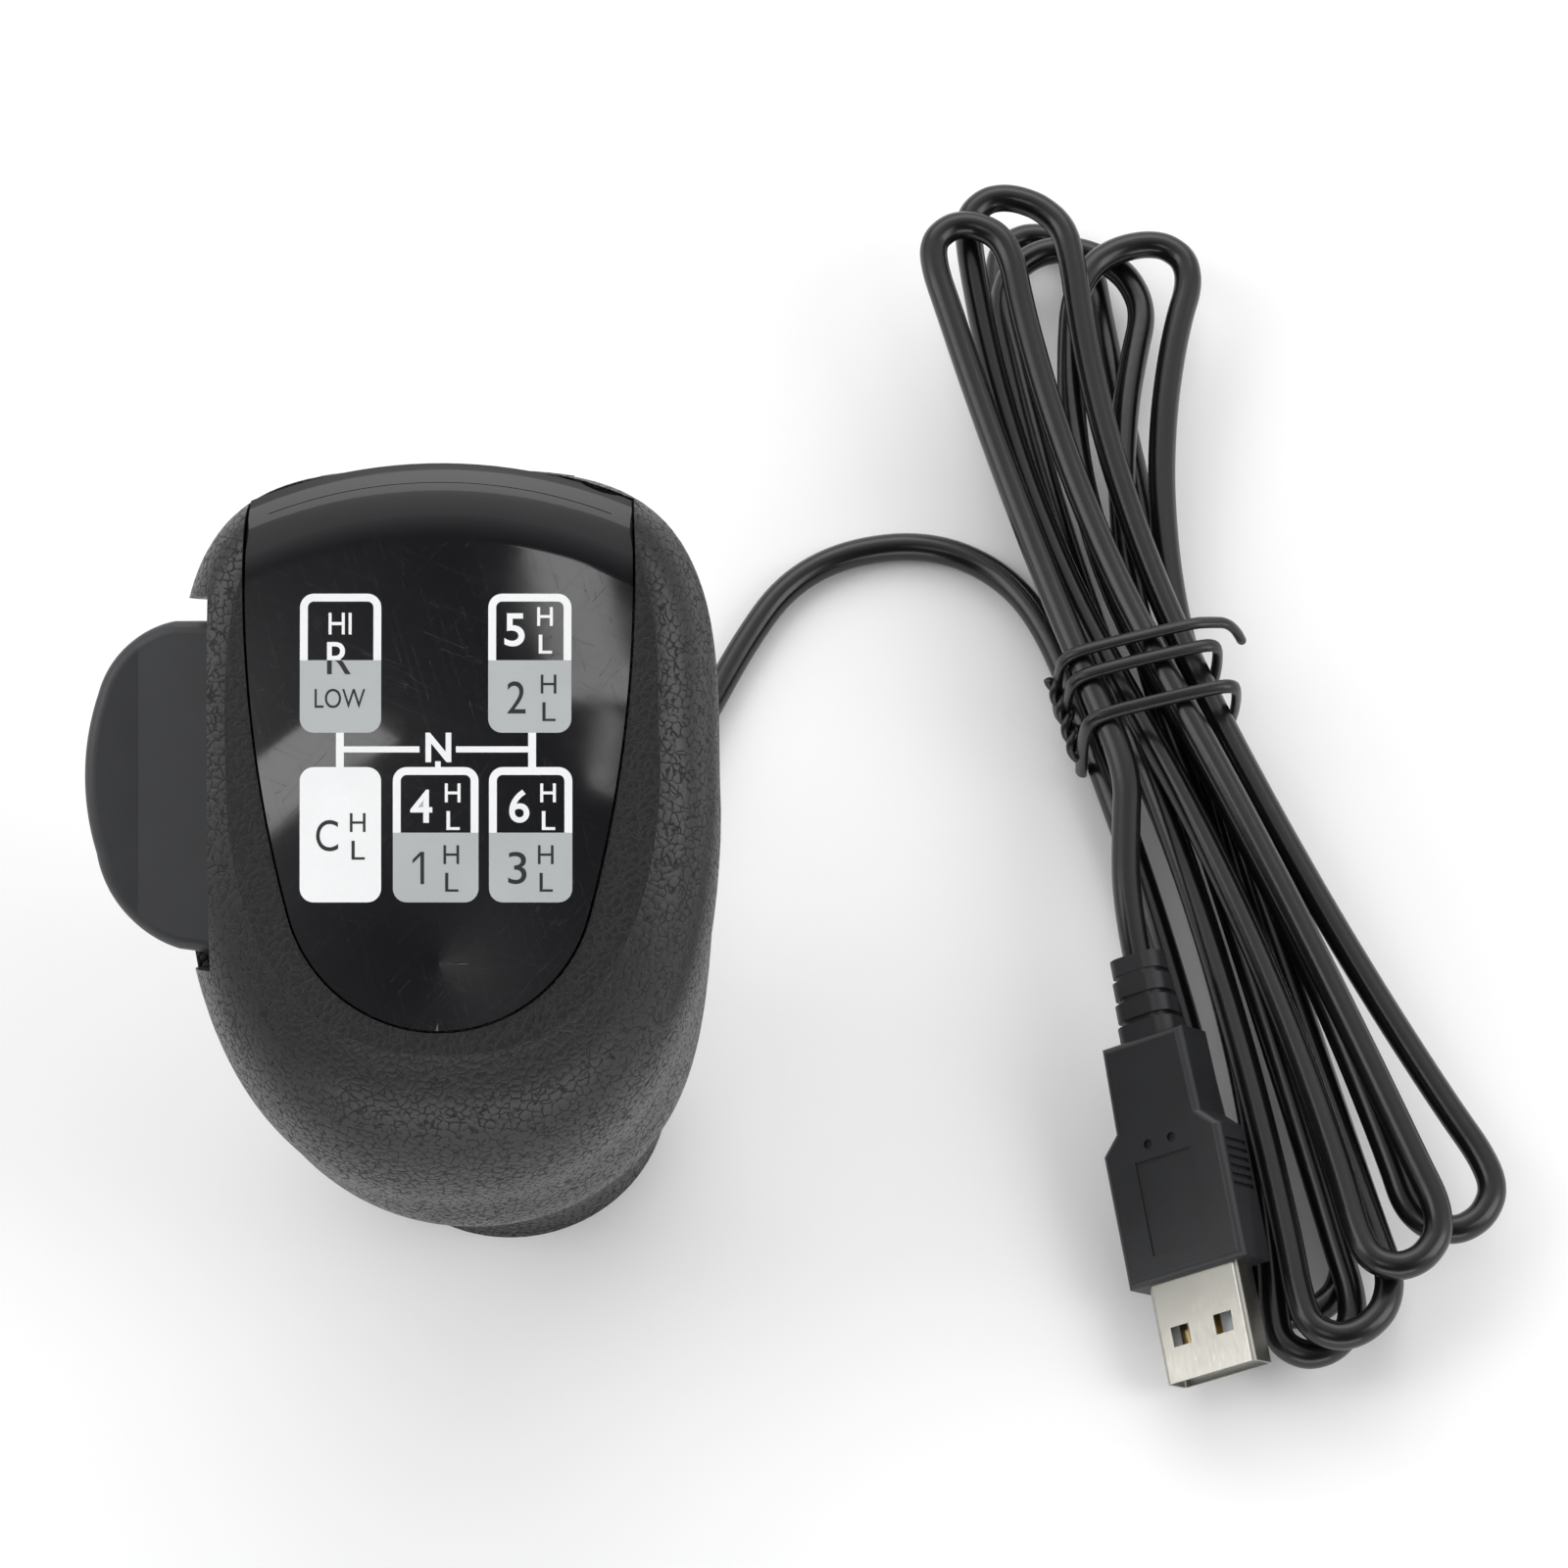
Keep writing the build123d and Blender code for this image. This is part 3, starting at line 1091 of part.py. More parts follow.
def usb_strain_relief():
    """The ribbed strain relief: a core with collars, between the plug's body and the cord."""
    start = OVERMOLD_NECK_LENGTH
    relief = plug_block(*RELIEF_CORE, start, start + RELIEF_LENGTH, 1.6)
    step = (RELIEF_LENGTH - RELIEF_COLLAR_LENGTH) / RELIEF_COLLARS
    for i in range(RELIEF_COLLARS + 1):
        taper = 0.3 * i
        low = start + i * step
        width, thickness = (size - taper for size in RELIEF_COLLAR)
        relief += plug_block(width, thickness, low, low + RELIEF_COLLAR_LENGTH, 1.8)
    return in_plug(relief)


def usb_metal_shell():
    """The folded sheet shell, open at its mouth, with two square windows through each wide face."""
    back, tip = -OVERMOLD_LENGTH + SHELL_HELD, -OVERMOLD_LENGTH - SHELL_EXPOSED
    shell = plug_block(SHELL_WIDTH, SHELL_THICKNESS, tip, back, 0.6)
    inside = 2 * SHELL_SHEET
    shell -= plug_block(SHELL_WIDTH - inside, SHELL_THICKNESS - inside, tip - 1, back + 1, 0.3)
    for side in (-1, 1):
        window = Box(SHELL_WINDOW, SHELL_WINDOW, SHELL_THICKNESS + 1)
        shell -= Pos(side * SHELL_WINDOW_SPACING / 2, tip + SHELL_WINDOW_SETBACK, 0) * window
    return in_plug(shell)


def tongue_floor():
    """The inside of the shell's lower face, in the plug's frame."""
    return -SHELL_THICKNESS / 2 + SHELL_SHEET


def usb_tongue():
    """The insulator: a block that fills the shell's back, and the thin tongue before it."""
    back, tip = -OVERMOLD_LENGTH + SHELL_HELD, -OVERMOLD_LENGTH - SHELL_EXPOSED
    half = SHELL_WIDTH / 2 - SHELL_SHEET - 0.3
    low = tongue_floor()
    tongue = box_between((-half, back - 4.5, low), (half, back, -low))
    tongue += box_between((-half, tip + TONGUE_SETBACK, low), (half, back, low + TONGUE_THICKNESS))
    return in_plug(tongue)


def usb_contacts():
    """Four flat contacts on the tongue; the outer two reach nearer to the mouth."""
    low = tongue_floor() + TONGUE_THICKNESS
    back, tip = -OVERMOLD_LENGTH + SHELL_HELD - 4.5, -OVERMOLD_LENGTH - SHELL_EXPOSED + TONGUE_SETBACK
    contacts = []
    for place in CONTACT_PLACES:
        front = tip + (0.6 if abs(place) > 2 else 1.6)
        half = CONTACT_WIDTH / 2
        strip = box_between((place - half, front, low), (place + half, back, low + CONTACT_THICKNESS))
        contacts.append(in_plug(strip))
    return contacts


def save(name, shape):
    """Write one node, as one solid or as a group of separate solids."""
    solids = list(shape) if isinstance(shape, list) else [shape]
    parts = []
    for item in solids:
        parts += list(item.solids())
    node = parts[0] if len(parts) == 1 else Compound(children=parts)
    export_step(node, f"parts/{name}.step")
    bad = [part.is_valid for part in parts].count(False)
    volume = sum(part.volume for part in parts)
    print(name, len(parts), "solids", bad, "bad", round(volume, 1))


if __name__ == "__main__":
    os.makedirs("parts", exist_ok=True)
    outer = body_loft(0.0, 0.0)
    inner = body_loft(WALL, FOOT_THICKNESS)
    grown = body_loft(-FLAP_PROUD, 0.0)
    save("pattern_plate", pattern_plate())
    save("upper_grip_shell", upper_grip_shell(outer, inner))
    save("lower_grip_shell", lower_grip_shell(outer, inner))
    save("thumb_paddle", thumb_paddle())
    save("range_flap", range_flap(grown))
    save("paddle_pin", head_rod(PADDLE_PIN_RADIUS, *paddle_pin_ends()))
    save("flap_pin", head_rod(FLAP_PIN_RADIUS, *flap_pin_ends()))
    save("rod_bush", rod_bush())
    save("rod_set_screws", set_screws())
    save("shell_screws", shell_screws())
    paddle_detent = (PADDLE_PIVOT_U, PADDLE_DETENT_V, PADDLE_PIVOT_W, PADDLE_HUB_RADIUS)
    flap_detent = (FLAP_DETENT_U, FLAP_PIVOT_V, FLAP_PIVOT_W, FLAP_HUB_RADIUS)
    save("paddle_detent_ball", detent_ball(*paddle_detent))
    save("paddle_detent_spring", detent_spring(*paddle_detent))
    save("flap_detent_ball", detent_ball(*flap_detent))
    save("flap_detent_spring", detent_spring(*flap_detent))
    paddle_centre = (PADDLE_SWITCH_U, PADDLE_ARM_V)
    range_centre = (0, RANGE_SWITCH_V)
    save("paddle_switch", switch_body(PADDLE_SWITCH_LOW, PADDLE_SWITCH_HIGH, paddle_centre))
    save("range_switch", switch_body(RANGE_SWITCH_LOW, RANGE_SWITCH_HIGH, range_centre))
    save("paddle_switch_plunger", plunger(paddle_centre, paddle_contact_w()))
    save("range_switch_plunger", plunger(range_centre, flap_contact_w()))
    save("switch_terminals", switch_terminals())
    save("circuit_board", circuit_board())
    save("board_screws", board_screws())
    save("controller_chip", controller_chip())
    save("clock_crystal", on_board(CRYSTAL_PLACE, CRYSTAL_SIZE))
    save("switch_header", on_board(SWITCH_HEADER_PLACE, SWITCH_HEADER_SIZE))
    save("usb_header", usb_header())
    save("usb_wires", usb_wires())
    save("switch_wires", switch_wires())
    save("cable_grommet", cable_grommet())
    save("cord_lead", cord_lead())
    save("cord_hank", cord_hank())
    save("cord_tail", cord_tail())
    save("twist_tie", twist_tie())
    save("usb_strain_relief", usb_strain_relief())
    save("usb_overmold", usb_overmold())
    save("usb_metal_shell", usb_metal_shell())
    save("usb_tongue", usb_tongue())
    save("usb_contacts", usb_contacts())
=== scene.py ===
"""Looks for a shift knob with a glossy gear plate, a side paddle, a front flap and a tied-up USB cord.

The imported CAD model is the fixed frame. Lengths in the dataclasses are in millimetres and are
turned into metres where a mesh or a curve is made.
"""
from __future__ import annotations

import json
import logging
import math
from dataclasses import dataclass, field
from enum import Enum

import bmesh
import bpy
import numpy as np
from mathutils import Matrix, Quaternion, Vector

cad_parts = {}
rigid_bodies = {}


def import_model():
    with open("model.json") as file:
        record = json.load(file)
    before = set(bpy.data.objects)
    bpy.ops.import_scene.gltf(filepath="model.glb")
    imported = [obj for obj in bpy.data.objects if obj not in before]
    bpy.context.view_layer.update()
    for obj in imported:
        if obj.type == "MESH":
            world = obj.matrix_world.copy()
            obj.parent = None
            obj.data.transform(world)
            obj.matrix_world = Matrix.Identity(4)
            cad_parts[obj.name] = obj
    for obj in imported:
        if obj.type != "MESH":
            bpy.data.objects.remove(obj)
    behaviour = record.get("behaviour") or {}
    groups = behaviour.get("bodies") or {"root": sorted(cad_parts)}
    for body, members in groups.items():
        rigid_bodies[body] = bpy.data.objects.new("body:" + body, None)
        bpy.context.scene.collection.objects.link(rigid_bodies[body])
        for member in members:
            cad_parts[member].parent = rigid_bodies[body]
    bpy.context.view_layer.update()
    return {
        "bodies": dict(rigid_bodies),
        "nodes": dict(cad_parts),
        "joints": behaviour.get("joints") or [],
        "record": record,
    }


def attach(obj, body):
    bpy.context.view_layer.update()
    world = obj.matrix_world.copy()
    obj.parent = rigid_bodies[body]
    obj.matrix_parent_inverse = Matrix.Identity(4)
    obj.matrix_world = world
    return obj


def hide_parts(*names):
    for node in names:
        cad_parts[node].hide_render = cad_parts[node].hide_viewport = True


MM = 0.001
LOG = logging.getLogger("shift_knob")

Colour = tuple[float, float, float]
Point = tuple[float, float, float]
Faces = list[list[int]]
Socket = bpy.types.NodeSocket
Piece = bpy.types.Object


# Geometry helpers


def unit(vector: np.ndarray) -> np.ndarray:
    """A vector, or each row of an array of them, at length one."""
    return vector / np.linalg.norm(vector, axis=-1, keepdims=True)


def grid_faces(rows: int, columns: int, closed: bool) -> Faces:
    """Quads over a grid of points: each joins a point to its right, upper right and upper neighbour.

    Args:
        rows: How many rows of points the grid has.
        columns: How many points there are in a row.
        closed: Whether the last point of a row joins the first.

    Returns:
        Four vertex numbers per quad.
    """
    last = columns if closed else columns - 1
    row, column = np.meshgrid(np.arange(rows - 1), np.arange(last), indexing="ij")
    here = row * columns + column
    right = row * columns + (column + 1) % columns
    return np.stack([here, right, right + columns, here + columns], -1).reshape(-1, 4).tolist()


def joined(shapes: list[tuple[np.ndarray, Faces]]) -> tuple[np.ndarray, Faces]:
    """The points and faces of several shapes, as those of one.

    Args:
        shapes: Each shape's points and faces.

    Returns:
        One array of points, and all the faces over it.
    """
    faces, count = [], 0
    for points, rows in shapes:
        faces += [[number + count for number in row] for row in rows]
        count += len(points)
    return np.vstack([points for points, _ in shapes]), faces


def add_mesh(name: str, vertices: np.ndarray, faces: Faces, smooth: bool = True) -> Piece:
    """A new mesh object at the origin, with its place in its vertices.

    Args:
        name: The piece's name.
        vertices: Points in metres, one per row.
        faces: Vertex numbers, one list per face.
        smooth: Whether its faces are shaded smooth.

    Returns:
        The object, linked to the scene.
    """
    mesh = bpy.data.meshes.new(name)
    mesh.from_pydata(vertices.tolist(), [], faces, shade_flat=not smooth)
    mesh.validate()
    piece = bpy.data.objects.new(name, mesh)
    bpy.context.scene.collection.objects.link(piece)
    return piece


def add_spline(name: str, points: np.ndarray, radius: float) -> Piece:
    """A smooth cord through a route's control points, round where a radius is given.

    Args:
        name: The piece's name.
        points: The route's control points in millimetres.
        radius: The cord's radius in millimetres, or 0 for the bare line.

    Returns:
        The curve object, with one open spline.
    """
    data = bpy.data.curves.new(name, "CURVE")
    data.dimensions = "3D"
    data.resolution_u = 8
    data.bevel_depth = radius * MM
    data.bevel_resolution = 5
    data.use_fill_caps = radius > 0
    spline = data.splines.new("NURBS")
    spline.points.add(len(points) - 1)
    spline.points.foreach_set("co", np.c_[points * MM, np.ones(len(points))].ravel())
    spline.order_u = 3
    spline.use_endpoint_u = True
    curve = bpy.data.objects.new(name, data)
    bpy.context.scene.collection.objects.link(curve)
    return curve


def spline_line(points: np.ndarray) -> np.ndarray:
    """The points of the smooth line that a route's spline makes, in millimetres.

    Args:
        points: The route's control points in millimetres.

    Returns:
        One point per row.
    """
    curve = add_spline("route_line", points, 0.0)
    mesh = bpy.data.meshes.new_from_object(curve)
    line = np.zeros(len(mesh.vertices) * 3)
    mesh.vertices.foreach_get("co", line)
    bpy.data.objects.remove(curve)
    return line.reshape(-1, 3) / MM


def carried_section(line: np.ndarray, section: np.ndarray, up: np.ndarray) -> tuple[np.ndarray, Faces]:
    """A closed section carried along a line, as a grid with a fan over each end.

    Each point is the line's point, plus the section's first coordinate times the side direction,
    plus its second times the direction square to both.

    Args:
        line: The points that it follows.
        section: The section's points, round its centre.
        up: A direction, or one per point, that the section's second axis leans to.

    Returns:
        The vertices and the faces.
    """
    along = unit(np.gradient(line, axis=0))
    side = unit(np.cross(along, up))
    rise = np.cross(side, along)
    rings = line[:, None] + section[None, :, :1] * side[:, None] + section[None, :, 1:] * rise[:, None]
    vertices = np.vstack([rings.reshape(-1, 3), line[:1], line[-1:]])
    count, first, last = len(section), len(vertices) - 2, len(vertices) - 1
    ring, end = np.arange(count), (len(line) - 1) * count
    after = (ring + 1) % count
    start = np.stack([ring, np.full(count, first), after], -1)
    finish = np.stack([end + ring, end + after, np.full(count, last)], -1)
    return vertices, [*grid_faces(len(line), count, True), *start.tolist(), *finish.tolist()]


# Shader helpers


class NodeTree:
    """A node tree, with short calls to add its nodes and join them."""

    def __init__(self, tree: bpy.types.NodeTree) -> None:
        """Work on a tree that is already there."""
        self.tree = tree

    def add(self, kind: str, inputs: dict[str, object] | None = None, **settings: object) -> bpy.types.Node:
        """One node.

        Args:
            kind: The node's type, without its ShaderNode prefix.
            inputs: Values, or sockets to join, by the input's name.
            **settings: The node's own properties.

        Returns:
            The node.
        """
        node = self.tree.nodes.new("ShaderNode" + kind)
        for name, value in settings.items():
            setattr(node, name, value)
        for name, value in (inputs or {}).items():
            self.put(node.inputs[name], value)
        return node

    def put(self, socket: Socket, value: object) -> None:
        """Set a socket's value, or join it to another socket.

        Args:
            socket: The input.
            value: A value, or another node's output.
        """
        if isinstance(value, Socket):
            self.tree.links.new(value, socket)
        else:
            socket.default_value = value

    def position(self, scale: Point = (1, 1, 1)) -> Socket:
        """Object coordinates in metres, stretched by a scale."""
        place = self.add("TexCoord").outputs["Object"]
        return self.add("Mapping", {"Vector": place, "Scale": scale}).outputs["Vector"]

    def noise(self, vector: Socket, scale: float, detail: float = 3.0) -> Socket:
        """A noise from 0 to 1 with so many cells to a metre."""
        inputs = {"Vector": vector, "Scale": scale, "Detail": detail}
        return self.add("TexNoise", inputs).outputs["Fac"]

    def math(self, operation: str, *values: object) -> Socket:
        """Numbers put together.

        Args:
            operation: What the node does.
            *values: Numbers or sockets, in their order.

        Returns:
            The result's socket.
        """
        node = self.add("Math", operation=operation)
        for socket, value in zip(node.inputs, values):
            self.put(socket, value)
        return node.outputs[0]

    def vector_math(self, operation: str, *values: object) -> Socket:
        """Vectors put together: into a number by a dot product, and else into a vector.

        Args:
            operation: What the node does.
            *values: Vectors, numbers or sockets, in their order.

        Returns:
            The result's socket.
        """
        node = self.add("VectorMath", operation=operation)
        for socket, value in zip(node.inputs, values):
            self.put(socket, value)
        return node.outputs["Value" if operation == "DOT_PRODUCT" else "Vector"]

    def spread(self, value: Socket, low: float, high: float, start: float = 0.0,
               end: float = 1.0) -> Socket:
        """A value from start to end, turned into one from low to high."""
        inputs = {"Value": value, "From Min": start, "From Max": end, "To Min": low, "To Max": high}
        return self.add("MapRange", inputs).outputs["Result"]

    def blend(self, value: Socket, low: Colour, high: Colour) -> Socket:
        """A colour between two, by a value from 0 to 1.

        Args:
            value: The value.
            low: The colour at 0.
            high: The colour at 1.

        Returns:
            The colour's socket.
        """
        ramp = self.add("ValToRGB", {"Fac": value})
        ramp.color_ramp.elements[0].color = (*low, 1)
        ramp.color_ramp.elements[1].color = (*high, 1)
        return ramp.outputs["Color"]


class Shader(NodeTree):
    """A new material's node tree, with its principled shader."""

    def __init__(self, name: str) -> None:
        """Start a material of that name.

        Args:
            name: The material's name.
        """
        self.material = bpy.data.materials.new(name)
        self.material.use_nodes = True
        super().__init__(self.material.node_tree)
        self.surface = self.tree.nodes["Principled BSDF"]

    def set(self, **values: object) -> None:
        """Set the principled shader's own sockets, named with underscores for spaces."""
        for name, value in values.items():
            self.put(self.surface.inputs[name.replace("_", " ")], value)

    def bump(self, height: Socket, depth: float) -> None:
        """Raise the surface by a height from 0 to 1, times a depth in millimetres."""
        inputs = {"Height": height, "Distance": depth * MM, "Strength": 1.0}
        self.set(Normal=self.add("Bump", inputs).outputs["Normal"])


@dataclass(frozen=True)
class GrainedSkin:
    """Near-black grip skin with a leather grain: smooth hills between broken, dull, sunken lines, painted
    darker as shade.
    """

    name: str = "grained_grip"
    # line: the sunken lines' colour, darker than the hills as painted shade in the creases
    line: Colour = (0.0028, 0.0029, 0.0031)
    hill: Colour = (0.0062, 0.0065, 0.0070)
    roughness: tuple[float, float] = (0.9, 0.36)
    warps: tuple[tuple[float, float], ...] = ((420.0, 0.0013), (1500.0, 0.0004))
    cells: float = 1050.0
    line_width: float = 0.11
    crown_width: float = 0.5
    gaps: float = 1300.0
    gap_range: tuple[float, float] = (0.44, 0.64)
    pores: float = 5200.0
    shares: tuple[float, float, float] = (0.62, 0.26, 0.12)
    depth: float = 0.26
    outward: Point = (0.0, -0.4226, 0.9063)
    fade: tuple[float, float] = (0.058, 0.073)
    faint: float = 0.3

    def material(self) -> bpy.types.Material:
        """The lines are edges of warped cells, with gaps from a second noise, and their darker colour is
        painted shade. They fade near the plate.

        Returns:
            The material.
        """
        shader = Shader(self.name)
        place = shader.position()
        vector = place
        for scale, reach in self.warps:
            warp = shader.add("TexNoise", {"Vector": place, "Scale": scale, "Detail": 2.0}).outputs["Color"]
            vector = shader.vector_math("MULTIPLY_ADD", warp, (reach, reach, reach), vector)
        edge = shader.add("TexVoronoi", {"Vector": vector, "Scale": self.cells}, feature="DISTANCE_TO_EDGE")
        hills, crown = (shader.spread(edge.outputs["Distance"], 0.0, 1.0, 0.0, width)
                        for width in (self.line_width, self.crown_width))
        gap = shader.spread(shader.noise(place, self.gaps, 1.0), 0.0, 1.0, *self.gap_range)
        open_hills = shader.math("MAXIMUM", hills, gap)
        height = 0.0
        for part, share in zip((open_hills, crown, shader.noise(place, self.pores, 2.0)), self.shares):
            height = shader.math("ADD", height, shader.math("MULTIPLY", part, share))
        level = shader.vector_math("DOT_PRODUCT", place, self.outward)
        height = shader.math("MULTIPLY", height, shader.spread(level, 1.0, self.faint, *self.fade))
        # painted shade: the sunken lines take the darker line colour, the hills the lighter one
        shader.set(Base_Color=shader.blend(open_hills, self.line, self.hill))
        shader.set(Roughness=shader.spread(open_hills, *self.roughness), Specular_IOR_Level=0.5)
        shader.bump(height, self.depth)
        return shader.material


@dataclass(frozen=True)
class GlossBlack:
    """The plate's polished black, with fine scratches in all directions."""

    name: str = "gloss_black"
    colour: Colour = (0.006, 0.006, 0.007)
    lift: float = 1.5
    strokes: tuple[tuple[float, float], ...] = ((0.35, 26.0), (-0.8, 22.0), (1.25, 30.0))
    stroke_cells: float = 60.0
    crest: float = 0.62
    crest_width: float = 0.0016
    scratch_roughness: float = 0.12
    smear_cells: float = 90.0
    smear_range: tuple[float, float] = (0.35, 0.7)
    haze: tuple[float, float] = (0.035, 0.085)
    depth: float = 0.0008

    def material(self) -> bpy.types.Material:
        """Scratches are the thin crests of three stretched noises, seen as a duller, shallow line.

        Returns:
            The material.
        """
        shader = Shader(self.name)
        crests = 0.0
        for turn, stretch in self.strokes:
            turned = shader.add("Mapping", {"Vector": shader.position(), "Rotation": (0, 0, turn)})
            drawn = shader.add("Mapping", {"Vector": turned.outputs["Vector"], "Scale": (1, stretch, 1)})
            wave = shader.noise(drawn.outputs["Vector"], self.stroke_cells, 1.0)
            off = shader.math("ABSOLUTE", shader.math("SUBTRACT", wave, self.crest))
            crests = shader.math("MAXIMUM", crests, shader.spread(off, 1.0, 0.0, 0.0, self.crest_width))
        smear = shader.noise(shader.position(), self.smear_cells, 4.0)
        haze = shader.spread(smear, *self.haze, *self.smear_range)
        scratch = shader.math("MULTIPLY", crests, self.scratch_roughness)
        lighter = tuple(self.lift * c for c in self.colour)
        shader.set(Base_Color=shader.blend(smear, self.colour, lighter))
        shader.set(Roughness=shader.math("ADD", haze, scratch), IOR=1.5)
        shader.bump(crests, self.depth)
        return shader.material


@dataclass(frozen=True)
class Moulded:
    """A moulded plastic or rubber: one colour with slight clouding and a fine sparked surface."""

    name: str
    colour: Colour
    roughness: float = 0.5
    cells: float = 4000.0
    depth: float = 0.01
    clouding: float = 0.25
    cloud_cells: float = 130.0
    gloss_spread: float = 0.06

    def material(self) -> bpy.types.Material:
        """Colour and gloss follow a broad noise, and the bump follows a fine one.

        Returns:
            The material.
        """
        shader = Shader(self.name)
        place = shader.position()
        cloud = shader.noise(place, self.cloud_cells, 5.0)
        low = tuple(c * (1 - self.clouding) for c in self.colour)
        high = tuple(min(1.0, c * (1 + self.clouding)) for c in self.colour)
        shader.set(Base_Color=shader.blend(cloud, low, high))
        glossy, dull = self.roughness - self.gloss_spread, self.roughness + self.gloss_spread
        shader.set(Roughness=shader.spread(cloud, glossy, dull))
        shader.bump(shader.noise(place, self.cells, 3.0), self.depth)
        return shader.material


@dataclass(frozen=True)
class Metal:
    """A worked metal with fine lines along one axis."""

    name: str
    colour: Colour
    roughness: float = 0.28
    lines: Point = (1.0, 0.05, 1.0)
    depth: float = 0.003
    line_cells: float = 3800.0
    stain_cells: float = 220.0
    stained: float = 0.82
    gloss_spread: tuple[float, float] = (0.08, 0.1)

    def material(self) -> bpy.types.Material:
        """The lines are a noise stretched along the axis in which it was worked.

        Returns:
            The material.
        """
        shader = Shader(self.name)
        lines = shader.noise(shader.position(self.lines), self.line_cells, 3.0)
        stain = shader.noise(shader.position(), self.stain_cells, 4.0)
        dark = tuple(c * self.stained for c in self.colour)
        glossy, dull = self.roughness - self.gloss_spread[0], self.roughness + self.gloss_spread[1]
        shader.set(Base_Color=shader.blend(stain, dark, self.colour), Metallic=1.0)
        shader.set(Roughness=shader.spread(lines, glossy, dull))
        shader.bump(lines, self.depth)
        return shader.material


@dataclass(frozen=True)
class PrintInk:
    """A printed ink: fine screen grain, a little silver in it where that is asked."""

    name: str
    colour: Colour
    silver: float = 0.0
    roughness: float = 0.34
    gloss_spread: float = 0.08
    grain_cells: float = 6500.0
    wash_cells: float = 160.0
    tones: tuple[float, float] = (0.86, 1.1)
    depth: float = 0.003

    def material(self) -> bpy.types.Material:
        """The grain is a fine noise in the colour and the gloss.

        Returns:
            The material.
        """
        shader = Shader(self.name)
        grain = shader.noise(shader.position(), self.grain_cells, 3.0)
        wash = shader.noise(shader.position(), self.wash_cells, 2.0)
        tone = shader.math("ADD", shader.math("MULTIPLY", grain, 0.5), shader.math("MULTIPLY", wash, 0.5))
        low, high = (tuple(min(1.0, c * tone) for c in self.colour) for tone in self.tones)
        glossy, dull = self.roughness - self.gloss_spread, self.roughness + self.gloss_spread
        shader.set(Base_Color=shader.blend(tone, low, high), Metallic=self.silver)
        shader.set(Roughness=shader.spread(grain, glossy, dull))
        shader.bump(grain, self.depth)
        return shader.material


@dataclass(frozen=True)
class ColouredWires:
    """Wire insulation whose colour changes from one wire to the next across a ribbon."""

    name: str = "wire_jacket"
    colours: tuple[Colour, ...] = (
        (0.45, 0.03, 0.02), (0.7, 0.7, 0.68), (0.02, 0.25, 0.06), (0.02, 0.02, 0.02),
    )
    step: float = 1.2
    roughness: float = 0.42
    cells: float = 3000.0
    depth: float = 0.01

    def material(self) -> bpy.types.Material:
        """The colour steps with the place across the ribbon, in wires.

        Returns:
            The material.
        """
        shader = Shader(self.name)
        split = shader.add("SeparateXYZ", {"Vector": shader.position()})
        count = len(self.colours)
        turns = shader.math("MULTIPLY", split.outputs["X"], 1 / (self.step * MM * count))
        ramp = shader.add("ValToRGB", {"Fac": shader.math("FRACT", turns)})
        ramp.color_ramp.interpolation = "CONSTANT"
        elements = ramp.color_ramp.elements
        elements[0].color = (*self.colours[0], 1)
        elements[1].position = 1 / count
        elements[1].color = (*self.colours[1], 1)
        for index in range(2, count):
            elements.new(index / count).color = (*self.colours[index], 1)
        shader.set(Base_Color=ramp.outputs["Color"], Roughness=self.roughness)
        shader.bump(shader.noise(shader.position(), self.cells), self.depth)
        return shader.material


class Finish(Enum):
    """Every finish of the knob, by the record's own slot for it."""

    GLOSS_BLACK = GlossBlack()
    GRAINED_GRIP = GrainedSkin()
    PADDLE_MATTE = Moulded("paddle_matte", (0.023, 0.024, 0.026), 0.44, 5200.0, 0.012)
    STEEL = Metal("steel", (0.62, 0.62, 0.62), 0.24)
    BUSH_ALUMINIUM = Metal("bush_aluminium", (0.7, 0.7, 0.71), 0.32, (1, 1, 0.04))
    SCREW_STEEL = Metal("screw_steel", (0.3, 0.3, 0.31), 0.38)
    SWITCH_BODY = Moulded("switch_body", (0.03, 0.03, 0.03), 0.45)
    SWITCH_PLUNGER = Moulded("switch_plunger", (0.6, 0.1, 0.08), 0.35)
    CONTACT_BRASS = Metal("contact_brass", (0.8, 0.6, 0.28), 0.22)
    BOARD_GREEN = Moulded("board_green", (0.03, 0.2, 0.08), 0.35, 900.0, 0.03)
    CHIP_BLACK = Moulded("chip_black", (0.03, 0.03, 0.03), 0.55)
    CRYSTAL_METAL = Metal("crystal_metal", (0.7, 0.7, 0.7), 0.2)
    HEADER_WHITE = Moulded("header_white", (0.80, 0.84, 0.88), 0.4, clouding=0.06)
    WIRE_JACKET = ColouredWires()
    GROMMET_RUBBER = Moulded("grommet_rubber", (0.016, 0.016, 0.016), 0.5, 2600.0, 0.02)
    CORD_JACKET = Moulded("cord_jacket", (0.0045, 0.0047, 0.0052), 0.24, 700.0, 0.02)
    TIE_COATING = Moulded("tie_coating", (0.006, 0.006, 0.0065), 0.32, 2200.0, 0.03)
    PLUG_BODY = Moulded("plug_body", (0.013, 0.0135, 0.015), 0.42, 4600.0, 0.014)
    PLUG_SHELL = Metal("plug_shell", (0.45, 0.44, 0.395), 0.30, (1, 0.08, 1), 0.004)

    @property
    def slot(self) -> str:
        """The record's slot name."""
        return self.value.name


